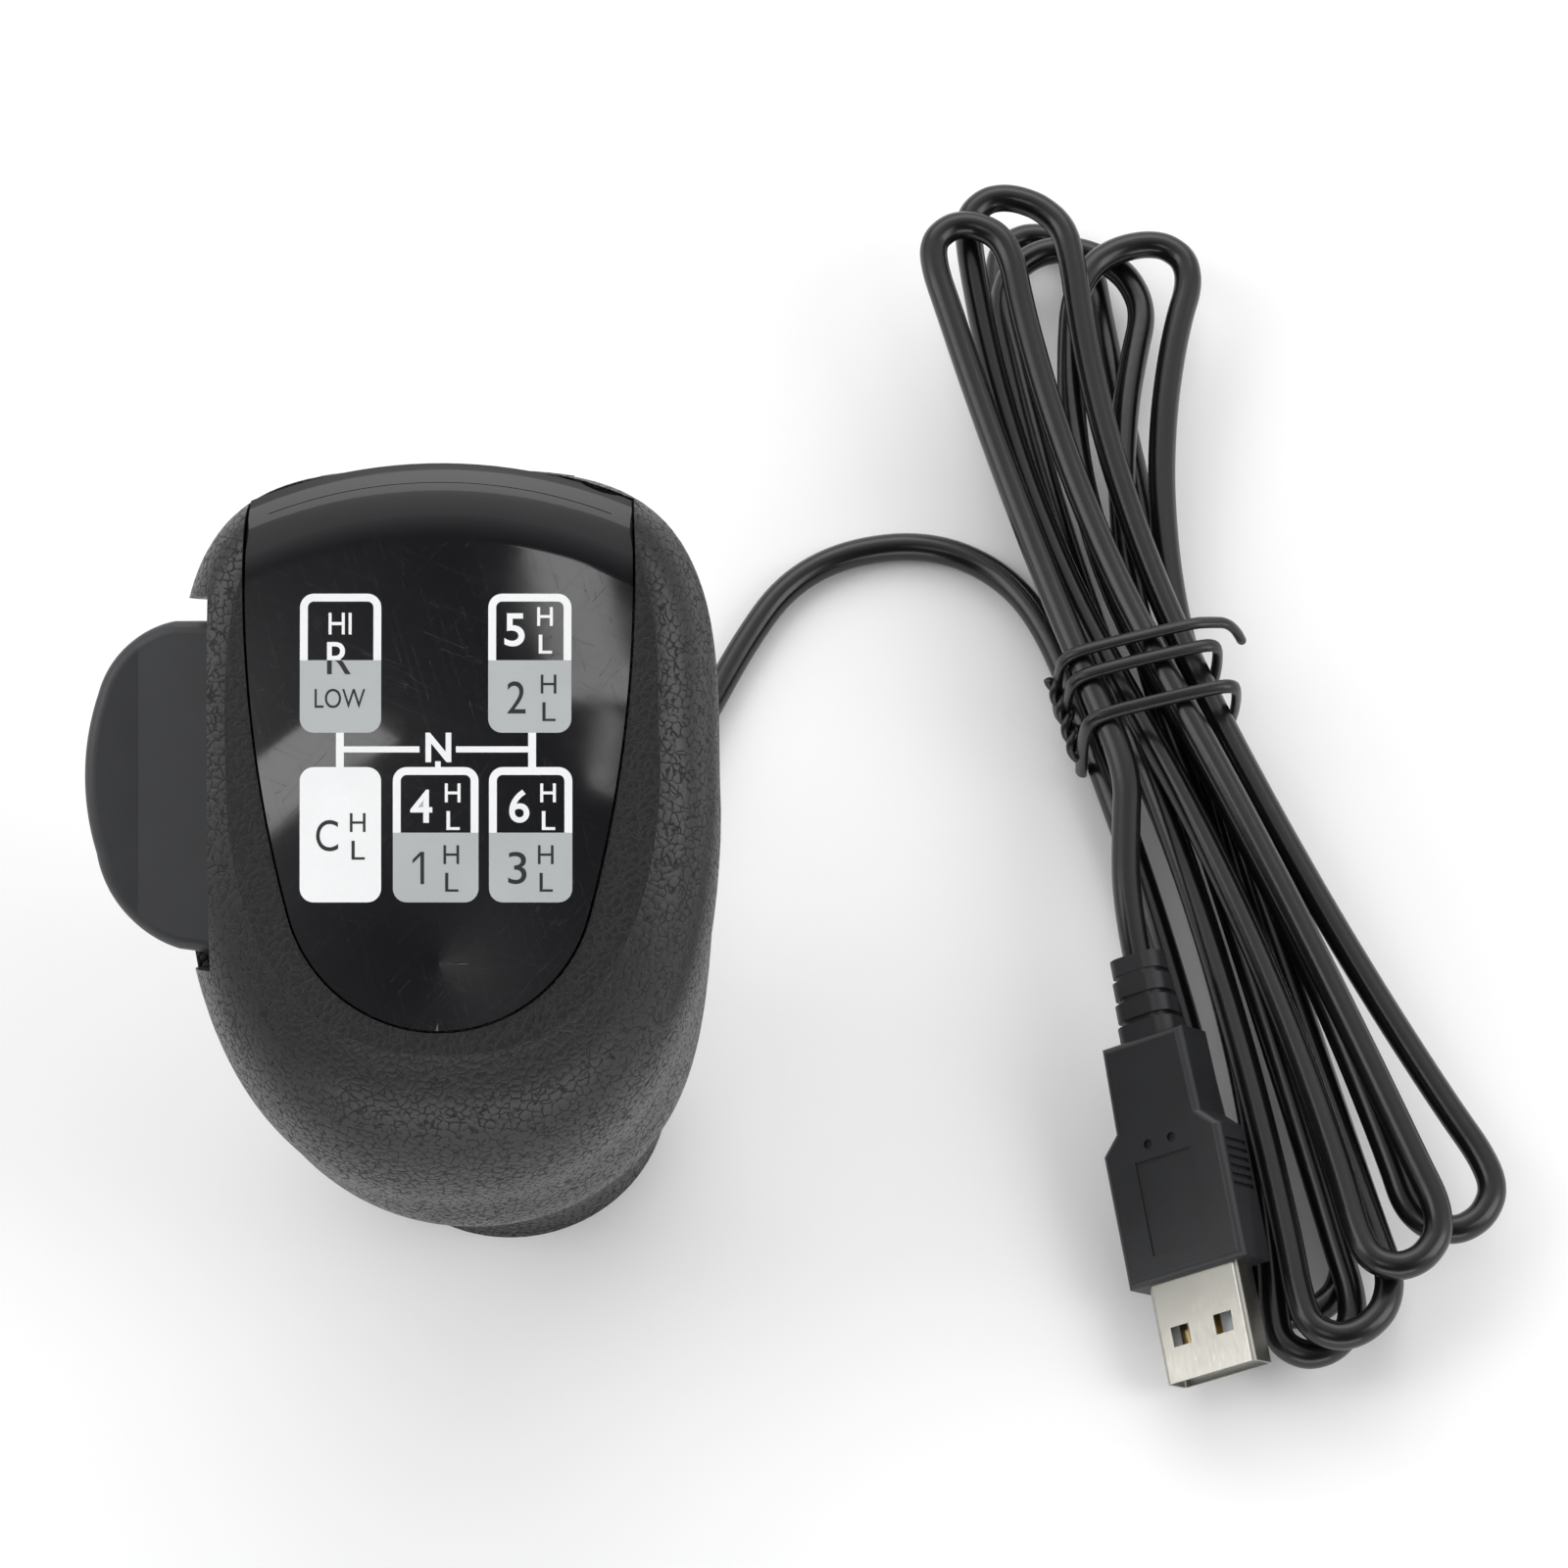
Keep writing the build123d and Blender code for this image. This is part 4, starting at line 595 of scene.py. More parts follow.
class Paints:
    """The materials, each made once and then shared."""

    def __init__(self) -> None:
        """Start with none made."""
        self.made: dict[str, bpy.types.Material] = {}

    def of(self, finish: Finish | PrintInk) -> bpy.types.Material:
        """The material of a finish.

        Args:
            finish: The finish or the ink.

        Returns:
            The material, made at its first use.
        """
        maker = finish.value if isinstance(finish, Finish) else finish
        if maker.name not in self.made:
            self.made[maker.name] = maker.material()
        return self.made[maker.name]

    def dress(self, piece: Piece, finish: Finish | PrintInk, slot: str | None = None) -> None:
        """Give a piece its finish.

        Args:
            piece: The piece.
            finish: Its finish or ink.
            slot: The record's slot, for a piece that is made here. Not used.
        """
        piece.data.materials.clear()
        piece.data.materials.append(self.of(finish))


# The studio


@dataclass(frozen=True)
class Lamp:
    """A soft lamp: its place, width and height in metres, its radiance and its turn in degrees."""

    name: str
    place: Point
    size: tuple[float, float]
    radiance: float
    roll: float = 0.0


@dataclass(frozen=True)
class Card:
    """A bright card that the plate mirrors: its middle across and up, its size and its turn."""

    name: str
    middle: tuple[float, float]
    size: tuple[float, float]
    roll: float


@dataclass(frozen=True)
class Glow:
    """A soft bright patch of the surroundings: which way it lies, how tight it is and how bright."""

    toward: Point
    tightness: float
    strength: float


@dataclass
class Studio:
    """The camera at the photograph's angle, a pale floor and soft lamps."""

    lit: Point = (0.03, 0.03, 0.04)
    lamps: tuple[Lamp, ...] = (
        Lamp("back_lamp", (0.05, 0.95, 0.75), (1.5, 0.6), 1.2),
        Lamp("left_lamp", (-0.9, 0.05, 0.75), (0.5, 1.0), 1.9),
        Lamp("right_lamp", (0.95, -0.2, 0.7), (0.5, 0.9), 2.2),
        Lamp("front_lamp", (0.1, -0.95, 0.2), (1.2, 0.3), 2.4),
    )
    cards: tuple[Card, ...] = (
        Card("upper_card", (11.0, 84.0), (30.0, 80.0), 12.0),
        Card("side_card", (-76.0, 17.0), (30.0, 46.0), -30.0),
        Card("edge_card", (14.0, 24.0), (7.0, 34.0), -14.0),
    )
    card_height: float = 608.0
    card_radiance: float = 4.2
    glows: tuple[Glow, ...] = (
        Glow((0.0, 0.8, 0.6), 9.0, 0.9),
        Glow((-0.8, 0.1, 0.6), 9.0, 0.5),
        Glow((0.85, -0.1, 0.5), 9.0, 0.6),
        Glow((-0.28, -0.41, 0.87), 120.0, 3.0),
    )
    world_bright: Colour = (0.74, 0.74, 0.75)
    world_dim: Colour = (0.05, 0.05, 0.052)
    dim_side: Point = (0.0, -0.62, 0.78)
    dim_cosines: tuple[float, float] = (0.62, 0.92)
    look_at: Point = (33.0, 41.5, 0.0)
    elevation: float = 65.0
    distance: float = 700.0
    lens: float = 128.5
    sensor: float = 36.0
    clip: tuple[float, float] = (0.01, 50.0)
    floor_rings: tuple[float, ...] = (0.0, 0.5, 1.5, 4.0, 9.0)
    floor_sides: int = 64
    floor_cells: float = 3.0
    floor_mottle: float = 0.99
    floor_colour: Colour = (0.93, 0.93, 0.93)
    floor_lift: float = 0.03

    def toward_camera(self) -> np.ndarray:
        """The direction from the object to the camera."""
        angle = math.radians(self.elevation)
        return np.array([0.0, -math.cos(angle), math.sin(angle)])

    def add_camera(self) -> None:
        """Stand the camera off from the point that it looks at."""
        data = bpy.data.cameras.new("camera")
        data.lens = self.lens
        data.sensor_width = self.sensor
        data.clip_start, data.clip_end = self.clip
        camera = bpy.data.objects.new("camera", data)
        camera.location = (np.array(self.look_at) + self.toward_camera() * self.distance) * MM
        camera.rotation_euler = (math.radians(90 - self.elevation), 0, 0)
        bpy.context.scene.collection.objects.link(camera)
        bpy.context.scene.camera = camera

    def add_floor(self) -> None:
        """A round, flat, pale floor: rings of points whose radius grows by steps."""
        angle = np.linspace(0, 2 * math.pi, self.floor_sides, endpoint=False)
        radius = np.array(self.floor_rings)
        ring = np.stack([np.cos(angle), np.sin(angle), np.zeros_like(angle)], -1)
        vertices = (radius[:, None, None] * ring[None]).reshape(-1, 3)
        floor = add_mesh("floor", vertices, grid_faces(len(radius), len(angle), True))
        shader = Shader("floor_paint")
        tone = shader.noise(shader.position(), self.floor_cells, 2.0)
        dimmer = tuple(self.floor_mottle * c for c in self.floor_colour)
        shader.set(Base_Color=shader.blend(tone, dimmer, self.floor_colour), Roughness=0.9)
        shader.set(Specular_IOR_Level=0.1)
        ray = shader.add("LightPath").outputs
        seen = shader.math("MAXIMUM", ray["Is Camera Ray"], ray["Is Glossy Ray"])
        seen = shader.math("MAXIMUM", seen, ray["Is Transmission Ray"])
        lift = shader.math("MULTIPLY", seen, self.floor_lift)
        shader.set(Emission_Color=(1, 1, 1, 1), Emission_Strength=lift)
        floor.data.materials.append(shader.material)

    def add_lamp(self, lamp: Lamp) -> None:
        """Hang a rectangular soft lamp that faces the middle of the object.

        Args:
            lamp: Where it hangs, how large it is and how bright.
        """
        data = bpy.data.lights.new(lamp.name, "AREA")
        data.shape = "RECTANGLE"
        data.size, data.size_y = lamp.size
        data.energy = lamp.radiance * math.pi * lamp.size[0] * lamp.size[1]
        holder = bpy.data.objects.new(lamp.name, data)
        holder.location = lamp.place
        facing = unit(np.array(self.lit) - np.array(lamp.place))
        holder.rotation_mode = "QUATERNION"
        roll = Quaternion((0, 0, 1), math.radians(lamp.roll))
        holder.rotation_quaternion = Vector(facing).to_track_quat("-Z", "Y") @ roll
        bpy.context.scene.collection.objects.link(holder)

    def add_card(self, card: Card) -> None:
        """Hang a small bright card beside the camera, where the plate mirrors it.

        Args:
            card: Where its middle lies over the plate, its size and its turn.
        """
        place = Head().place(np.array([[*card.middle, self.card_height]]))[0]
        size = (card.size[0] * MM, card.size[1] * MM)
        self.add_lamp(Lamp(card.name, tuple(place), size, self.card_radiance, card.roll))

    def add_world(self) -> None:
        """Even light all round, dimmer from the side where the camera stands, with soft glows in it."""
        world = bpy.data.worlds.new("studio_world")
        bpy.context.scene.world = world
        world.use_nodes = True
        nodes = NodeTree(world.node_tree)
        way = nodes.add("TexCoord").outputs["Generated"]

        def facing(direction: Point) -> Socket:
            """The cosine between the way one looks and a direction."""
            return nodes.vector_math("DOT_PRODUCT", way, tuple(unit(np.array(direction))))

        near = nodes.spread(facing(self.dim_side), 0.0, 1.0, *self.dim_cosines)
        colour = nodes.blend(near, self.world_bright, self.world_dim)
        for glow in self.glows:
            front = nodes.math("MAXIMUM", facing(glow.toward), 0.0)
            light = nodes.math("MULTIPLY", nodes.math("POWER", front, glow.tightness), glow.strength)
            colour = nodes.vector_math("ADD", colour, light)
        background = world.node_tree.nodes["Background"]
        nodes.put(background.inputs["Color"], colour)
        background.inputs["Strength"].default_value = 1.0

    def build(self) -> None:
        """Camera, floor, world and lamps."""
        bpy.context.scene.view_settings.view_transform = "Standard"
        self.add_camera()
        self.add_floor()
        self.add_world()
        for lamp in self.lamps:
            self.add_lamp(lamp)
        for card in self.cards:
            self.add_card(card)


# The knob


@dataclass
class Head:
    """The knob's head frame: u across, v towards the front, w out of the plate."""

    centre: Point = (-4.1, 5.3, 85.0)
    tilt: float = 25.0

    def place(self, points: np.ndarray) -> np.ndarray:
        """Points given in head coordinates in millimetres, in the part's own frame in metres.

        Args:
            points: One u, v and w per row, in millimetres.

        Returns:
            One point per row, in metres.
        """
        turn = math.radians(self.tilt)
        u, v, w = points.T
        forward = v * math.cos(turn) - w * math.sin(turn)
        up = v * math.sin(turn) + w * math.cos(turn)
        return (np.stack([u, forward, up], -1) + np.array(self.centre)) * MM


@dataclass
class PlateTop:
    """The plate's crowned top: an arc spun about the centre of its front edge."""

    axis: tuple[float, float] = (-0.4, -22.6)
    arc: tuple[tuple[float, float], ...] = ((0.0, 0.1), (23.0, 0.4), (46.0, -0.3))

    def height(self, u: np.ndarray, v: np.ndarray) -> np.ndarray:
        """The w of the surface over places in u and v, on the circle through the arc's three points.

        Args:
            u: Places across.
            v: Places towards the front.

        Returns:
            One height per place, in millimetres.
        """
        (x0, y0), (x1, y1), (x2, y2) = self.arc
        rows = np.array([[x1 - x0, y1 - y0], [x2 - x0, y2 - y0]]) * 2
        squares = np.square(self.arc).sum(1)
        sides = squares[1:] - squares[0]
        centre = np.linalg.solve(rows, sides)
        radius = math.hypot(x0 - centre[0], y0 - centre[1])
        reach = np.hypot(u - self.axis[0], v - self.axis[1])
        return centre[1] + np.sqrt(radius ** 2 - (reach - centre[0]) ** 2)


class Ink(Enum):
    """The plate's three inks, each printed a little higher than the one before."""

    SILVER = (PrintInk("silver_ink", (0.47, 0.495, 0.495), 0.15), 0.02)
    WHITE = (PrintInk("white_ink", (0.87, 0.88, 0.88)), 0.02)
    DARK = (PrintInk("dark_ink", (0.018, 0.018, 0.02)), 0.035)


@dataclass
class Legend:
    """One word or figure: its text, its middle in u and v, its width and height, and its weight."""

    text: str
    middle: tuple[float, float]
    size: tuple[float, float]
    ink: Ink
    weight: float = 0.0
    keep_above: float | None = None
    keep_below: float | None = None


@dataclass
class GearBox:
    """One rounded box of the gear pattern: a frame above its split, and a filled block below it."""

    left: float
    right: float
    top: float
    split: float
    bottom: float
    block_ink: Ink = Ink.SILVER


@dataclass
class GearPrint:
    """The gear pattern printed on the plate: boxes, the lines that join them, and their legends."""

    head: Head
    top: PlateTop
    paints: Paints
    line: float = 0.85
    corner: float = 1.5
    tall: float = 3.6
    small: tuple[float, float] = (1.7, 2.05)
    upper: Point = (17.55, 10.32, 2.45)
    lower: Point = (-1.28, -8.4, -15.96)
    stems: tuple[float, float] = (-11.09, 9.77)
    crossbar: tuple[float, float] = (0.64, 0.33)
    crossbar_gap: tuple[float, float] = (-2.45, 1.5)
    tick: tuple[float, float, float] = (-0.75, -0.15, -0.65)
    one: tuple[float, float] = (-2.15, -12.23)
    high_over: float = 1.45
    low_under: float = 1.55
    low_aside: float = 0.05
    low_width: float = 0.85
    arc_points: int = 9
    side_points: int = 12
    top_points: int = 8
    block_rows: int = 12
    end_rows: int = 7
    block_columns: int = 9
    bar_grid: tuple[int, int] = (6, 4)
    parts: dict[Ink, list[tuple[np.ndarray, Faces]]] = field(default_factory=dict)

    def boxes(self) -> list[GearBox]:
        """Two boxes above and three below, of which the leftmost is a white block up to its top.

        Returns:
            The five boxes.
        """
        high, low, bottom = self.lower
        return [
            GearBox(-15.45, -6.62, *self.upper),
            GearBox(5.0, 14.02, *self.upper),
            GearBox(-15.45, -6.62, high, high, bottom, Ink.WHITE),
            GearBox(-5.34, 3.95, high, low, bottom),
            GearBox(5.09, 14.13, high, low, bottom),
        ]

    def legends(self) -> list[Legend]:
        """Every word and figure on the plate, but for the one.

        Returns:
            One legend per word or figure, and two where a split runs through it.
        """
        split, reverse = self.upper[1], ((-11.2, 10.55), (2.6, 3.5))
        made = [
            Legend("HI", (self.stems[0], 14.3), (2.5, 2.35), Ink.WHITE, 0.005),
            Legend("R", *reverse, Ink.WHITE, 0.005, keep_above=split),
            Legend("R", *reverse, Ink.DARK, 0.005, keep_below=split),
            Legend("LOW", (self.stems[0], 6.17), (5.5, 2.1), Ink.DARK),
            Legend("N", (-0.4, 0.85), (2.8, 3.2), Ink.WHITE, 0.03),
            Legend("C", (-12.47, -8.72), (2.4, 3.4), Ink.DARK),
        ]
        white = (("5", 7.85, 13.62, 2.2), ("4", -2.26, -5.53, 2.4), ("6", 8.38, -5.53, 2.2))
        for figure, u, v, width in white:
            made.append(Legend(figure, (u, v), (width, self.tall), Ink.WHITE, 0.014))
        for figure, u, v in (("2", 8.06, 6.28), ("3", 8.17, -12.23)):
            made.append(Legend(figure, (u, v), (2.0, self.tall - 0.1), Ink.DARK))
        for u, v in ((11.15, 13.62), (1.15, -5.53), (11.5, -5.53)):
            made += self.ranges(u, v, Ink.WHITE, 0.008)
        for u, v in ((11.55, 6.28), (1.0, -12.23), (11.25, -12.23), (-9.15, -8.75)):
            made += self.ranges(u, v, Ink.DARK, 0.0)
        return made

    def ranges(self, u: float, v: float, ink: Ink, weight: float) -> list[Legend]:
        """The small H and L beside a figure, one over the other.

        Args:
            u: Their middle across.
            v: Their middle towards the front.
            ink: Their ink.
            weight: How far their strokes are thickened.

        Returns:
            The two legends.
        """
        wide, tall = self.small
        low_place = (u + self.low_aside, v - self.low_under)
        return [Legend("H", (u, v + self.high_over), self.small, ink, weight),
                Legend("L", low_place, (wide * self.low_width, tall), ink, weight)]

    def outline(self, box: GearBox, inset: float, low: float) -> np.ndarray:
        """Half a rounded outline, from low on the left, up round the top and down to low on the right.

        Args:
            box: The box.
            inset: How far inside the box it runs.
            low: The v at which it starts and ends.

        Returns:
            One u and v per row.
        """
        radius = self.corner - inset
        left, right, top = box.left + inset, box.right - inset, box.top - inset
        turn = np.linspace(0, math.pi / 2, self.arc_points)
        rise, run = radius * np.sin(turn), radius * np.cos(turn)
        side = np.linspace(low, top - radius, self.side_points, endpoint=False)
        across = np.linspace(left + radius, right - radius, self.top_points + 2)[1:-1]
        parts = (
            (np.full_like(side, left), side),
            (left + radius - run, top - radius + rise),
            (across, np.full_like(across, top)),
            (right - radius + rise, top - radius + run),
            (np.full_like(side, right), side[::-1]),
        )
        return np.vstack([np.stack(part, -1) for part in parts])

    def add_frame(self, box: GearBox) -> None:
        """The frame above a box's split: a strip between two outlines, a line's width apart."""
        edges = np.stack([self.outline(box, self.line, box.split), self.outline(box, 0.0, box.split)])
        self.add_flat(Ink.WHITE, edges.reshape(-1, 2), grid_faces(2, edges.shape[1], False))

    def add_block(self, box: GearBox, filled_top: bool) -> None:
        """A filled block: rows across it, whose ends draw in near a rounded corner.

        Args:
            box: The box whose lower part is filled.
            filled_top: Whether the block's upper corners are rounded too.
        """
        near_end = self.corner * (1 - np.cos(np.linspace(0, math.pi / 2, self.end_rows)))
        ends = np.r_[box.bottom + near_end, box.split - near_end * filled_top]
        rows = np.unique(np.r_[np.linspace(box.bottom, box.split, self.block_rows), ends].round(6))
        near = np.minimum(rows - box.bottom, box.split - rows if filled_top else np.inf)
        drawn = self.corner - np.clip(near, 0, self.corner)
        inward = self.corner - np.sqrt(self.corner ** 2 - drawn ** 2)
        share = np.linspace(0, 1, self.block_columns)
        left, right = box.left + inward, box.right - inward
        u = left[:, None] + share[None] * (right - left)[:, None]
        v = np.broadcast_to(rows[:, None], u.shape)
        faces = grid_faces(len(rows), len(share), False)
        self.add_flat(box.block_ink, np.stack([u, v], -1).reshape(-1, 2), faces)

    def add_bar(self, low: tuple[float, float], high: tuple[float, float]) -> None:
        """A straight line of the pattern, as a grid between two corners.

        Args:
            low: The u and v of its lower left corner.
            high: The u and v of its upper right corner.
        """
        columns, rows = self.bar_grid
        u, v = np.meshgrid(np.linspace(low[0], high[0], columns), np.linspace(low[1], high[1], rows))
        self.add_flat(Ink.WHITE, np.stack([u, v], -1).reshape(-1, 2), grid_faces(rows, columns, False))

    def add_one(self, u: float, v: float) -> None:
        """The figure one: an upright stroke with a short flag that falls away from its top.

        Args:
            u: The stroke's middle across.
            v: Its middle towards the front.
        """
        half, tall, flag, stroke = 0.2, (self.tall - 0.1) / 2, 0.85, 0.42
        corners_of_one = ((half, -tall), (half, tall), (-half, tall), (-half, tall - stroke), (-half, -tall),
                          (-half - flag, tall - flag), (-half - flag, tall - flag - stroke))
        places = np.array(corners_of_one) + np.array([u, v])
        self.add_flat(Ink.DARK, places, [[0, 1, 3], [0, 3, 4], [1, 2, 3], [2, 5, 6], [2, 6, 3]])

    def add_legend(self, legend: Legend) -> None:
        """A word cut out of the plain sans letters, scaled to its size and trimmed at the split.

        Args:
            legend: The word or figure.
        """
        data = bpy.data.curves.new("legend", "FONT")
        data.body = legend.text
        data.offset = legend.weight
        data.resolution_u = 6
        text = bpy.data.objects.new("legend", data)
        bpy.context.scene.collection.objects.link(text)
        bpy.context.view_layer.update()
        mesh = bpy.data.meshes.new_from_object(text.evaluated_get(bpy.context.evaluated_depsgraph_get()))
        bpy.data.objects.remove(text)
        flat = bmesh.new()
        flat.from_mesh(mesh)
        places = np.array([v.co[:2] for v in flat.verts])
        low, high = places.min(0), places.max(0)
        scaled = (places - (low + high) / 2) / (high - low) * np.array(legend.size) + np.array(legend.middle)
        for vertex, place in zip(flat.verts, scaled):
            vertex.co = (*place, 0)
        for height, side in ((legend.keep_above, 1), (legend.keep_below, -1)):
            if height is not None:
                geometry = [*flat.verts, *flat.edges, *flat.faces]
                bmesh.ops.bisect_plane(flat, geom=geometry, plane_co=(0, height, 0), plane_no=(0, -side, 0),
                                       clear_outer=True)
        bmesh.ops.triangulate(flat, faces=flat.faces)
        flat.verts.index_update()
        vertices = np.array([v.co[:2] for v in flat.verts])
        faces = [[v.index for v in f.verts] for f in flat.faces]
        flat.free()
        self.add_flat(legend.ink, vertices, faces)

    def add_flat(self, ink: Ink, places: np.ndarray, faces: Faces) -> None:
        """Keep one flat shape of an ink, with all its faces turned up.

        Args:
            ink: The ink.
            places: One u and v per row.
            faces: Its faces.
        """
        points = places[np.array([row[:3] for row in faces])]
        first, second = points[:, 1] - points[:, 0], points[:, 2] - points[:, 0]
        if np.sum(first[:, 0] * second[:, 1] - first[:, 1] * second[:, 0]) < 0:
            faces = [row[::-1] for row in faces]
        self.parts.setdefault(ink, []).append((places, faces))

    def build(self) -> None:
        """Print every box, line and legend, as one thin piece for each ink."""
        for box in self.boxes():
            full = box.split == box.top
            if not full:
                self.add_frame(box)
            self.add_block(box, full)
        half = self.line / 2
        for u in self.stems:
            self.add_bar((u - half, self.lower[0]), (u + half, self.upper[2]))
        level, thin = self.crossbar
        for left, right in zip((self.stems[0] + half, self.crossbar_gap[1]),
                               (self.crossbar_gap[0], self.stems[1] - half)):
            self.add_bar((left, level - thin), (right, level + thin))
        self.add_bar((self.tick[0], self.lower[0]), self.tick[1:])
        for legend in self.legends():
            self.add_legend(legend)
        self.add_one(*self.one)
        for ink, shapes in self.parts.items():
            self.add_ink(ink, shapes)

    def add_ink(self, ink: Ink, shapes: list[tuple[np.ndarray, Faces]]) -> None:
        """Lay all the shapes of one ink on the plate's crown, as a thin solid film.

        Args:
            ink: The ink.
            shapes: Its flat shapes, as places and faces.
        """
        paint, rise = ink.value
        flat, faces = joined(shapes)
        u, v = flat.T
        film = self.head.place(np.stack([u, v, self.top.height(u, v) + rise], -1))
        piece = add_mesh(f"gear_print_{ink.name.lower()}", film, faces, smooth=False)
        solid = piece.modifiers.new("film", "SOLIDIFY")
        solid.thickness = rise * MM
        solid.offset = -1.0
        self.paints.dress(piece, paint, Finish.GLOSS_BLACK.slot)
        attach(piece, "grip")
        LOG.info("%s: %d vertices", piece.name, len(film))


@dataclass
class Knob:
    """The knob's own CAD pieces, each dressed in its finish where it stands."""

    frame: dict[str, object]
    paints: Paints
    finishes: tuple[tuple[Finish, str], ...] = (
        (Finish.GLOSS_BLACK, "pattern_plate"),
        (Finish.GRAINED_GRIP, "upper_grip_shell lower_grip_shell range_flap"),
        (Finish.PADDLE_MATTE, "thumb_paddle"),
        (Finish.STEEL, "paddle_pin flap_pin paddle_detent_ball paddle_detent_spring"),
        (Finish.STEEL, "flap_detent_ball flap_detent_spring"),
        (Finish.BUSH_ALUMINIUM, "rod_bush"),
        (Finish.SCREW_STEEL, "rod_set_screws shell_screws board_screws"),
        (Finish.SWITCH_BODY, "paddle_switch range_switch"),
        (Finish.SWITCH_PLUNGER, "paddle_switch_plunger range_switch_plunger"),
        (Finish.CONTACT_BRASS, "switch_terminals usb_contacts"),
        (Finish.BOARD_GREEN, "circuit_board"),
        (Finish.CHIP_BLACK, "controller_chip"),
        (Finish.CRYSTAL_METAL, "clock_crystal"),
        (Finish.HEADER_WHITE, "switch_header usb_header usb_tongue"),
        (Finish.WIRE_JACKET, "usb_wires switch_wires"),
        (Finish.GROMMET_RUBBER, "cable_grommet"),
        (Finish.PLUG_BODY, "usb_strain_relief usb_overmold"),
        (Finish.PLUG_SHELL, "usb_metal_shell"),
    )

    def build(self) -> None:
        """Dress every CAD piece that shows."""
        for finish, names in self.finishes:
            for name in names.split():
                self.paints.dress(self.frame["nodes"][name], finish)
                LOG.info("%s: %s", name, finish.slot)


# The cord


@dataclass
class Plug:
    """Where the plug lies: its shoulder, the way it points and what is behind the shoulder."""

    shoulder: Point = (79.4, -9.8, 10.9)
    pointing: Point = (2.9, -16.9, -2.0)
    neck: float = 11.8
    relief: float = 10.5

    def along(self) -> np.ndarray:
        """The direction in which the plug points."""
        return unit(np.array(self.pointing))

    def cord_end(self) -> np.ndarray:
        """Where the cord goes into the strain relief."""
        return np.array(self.shoulder) - self.along() * (self.neck + self.relief)


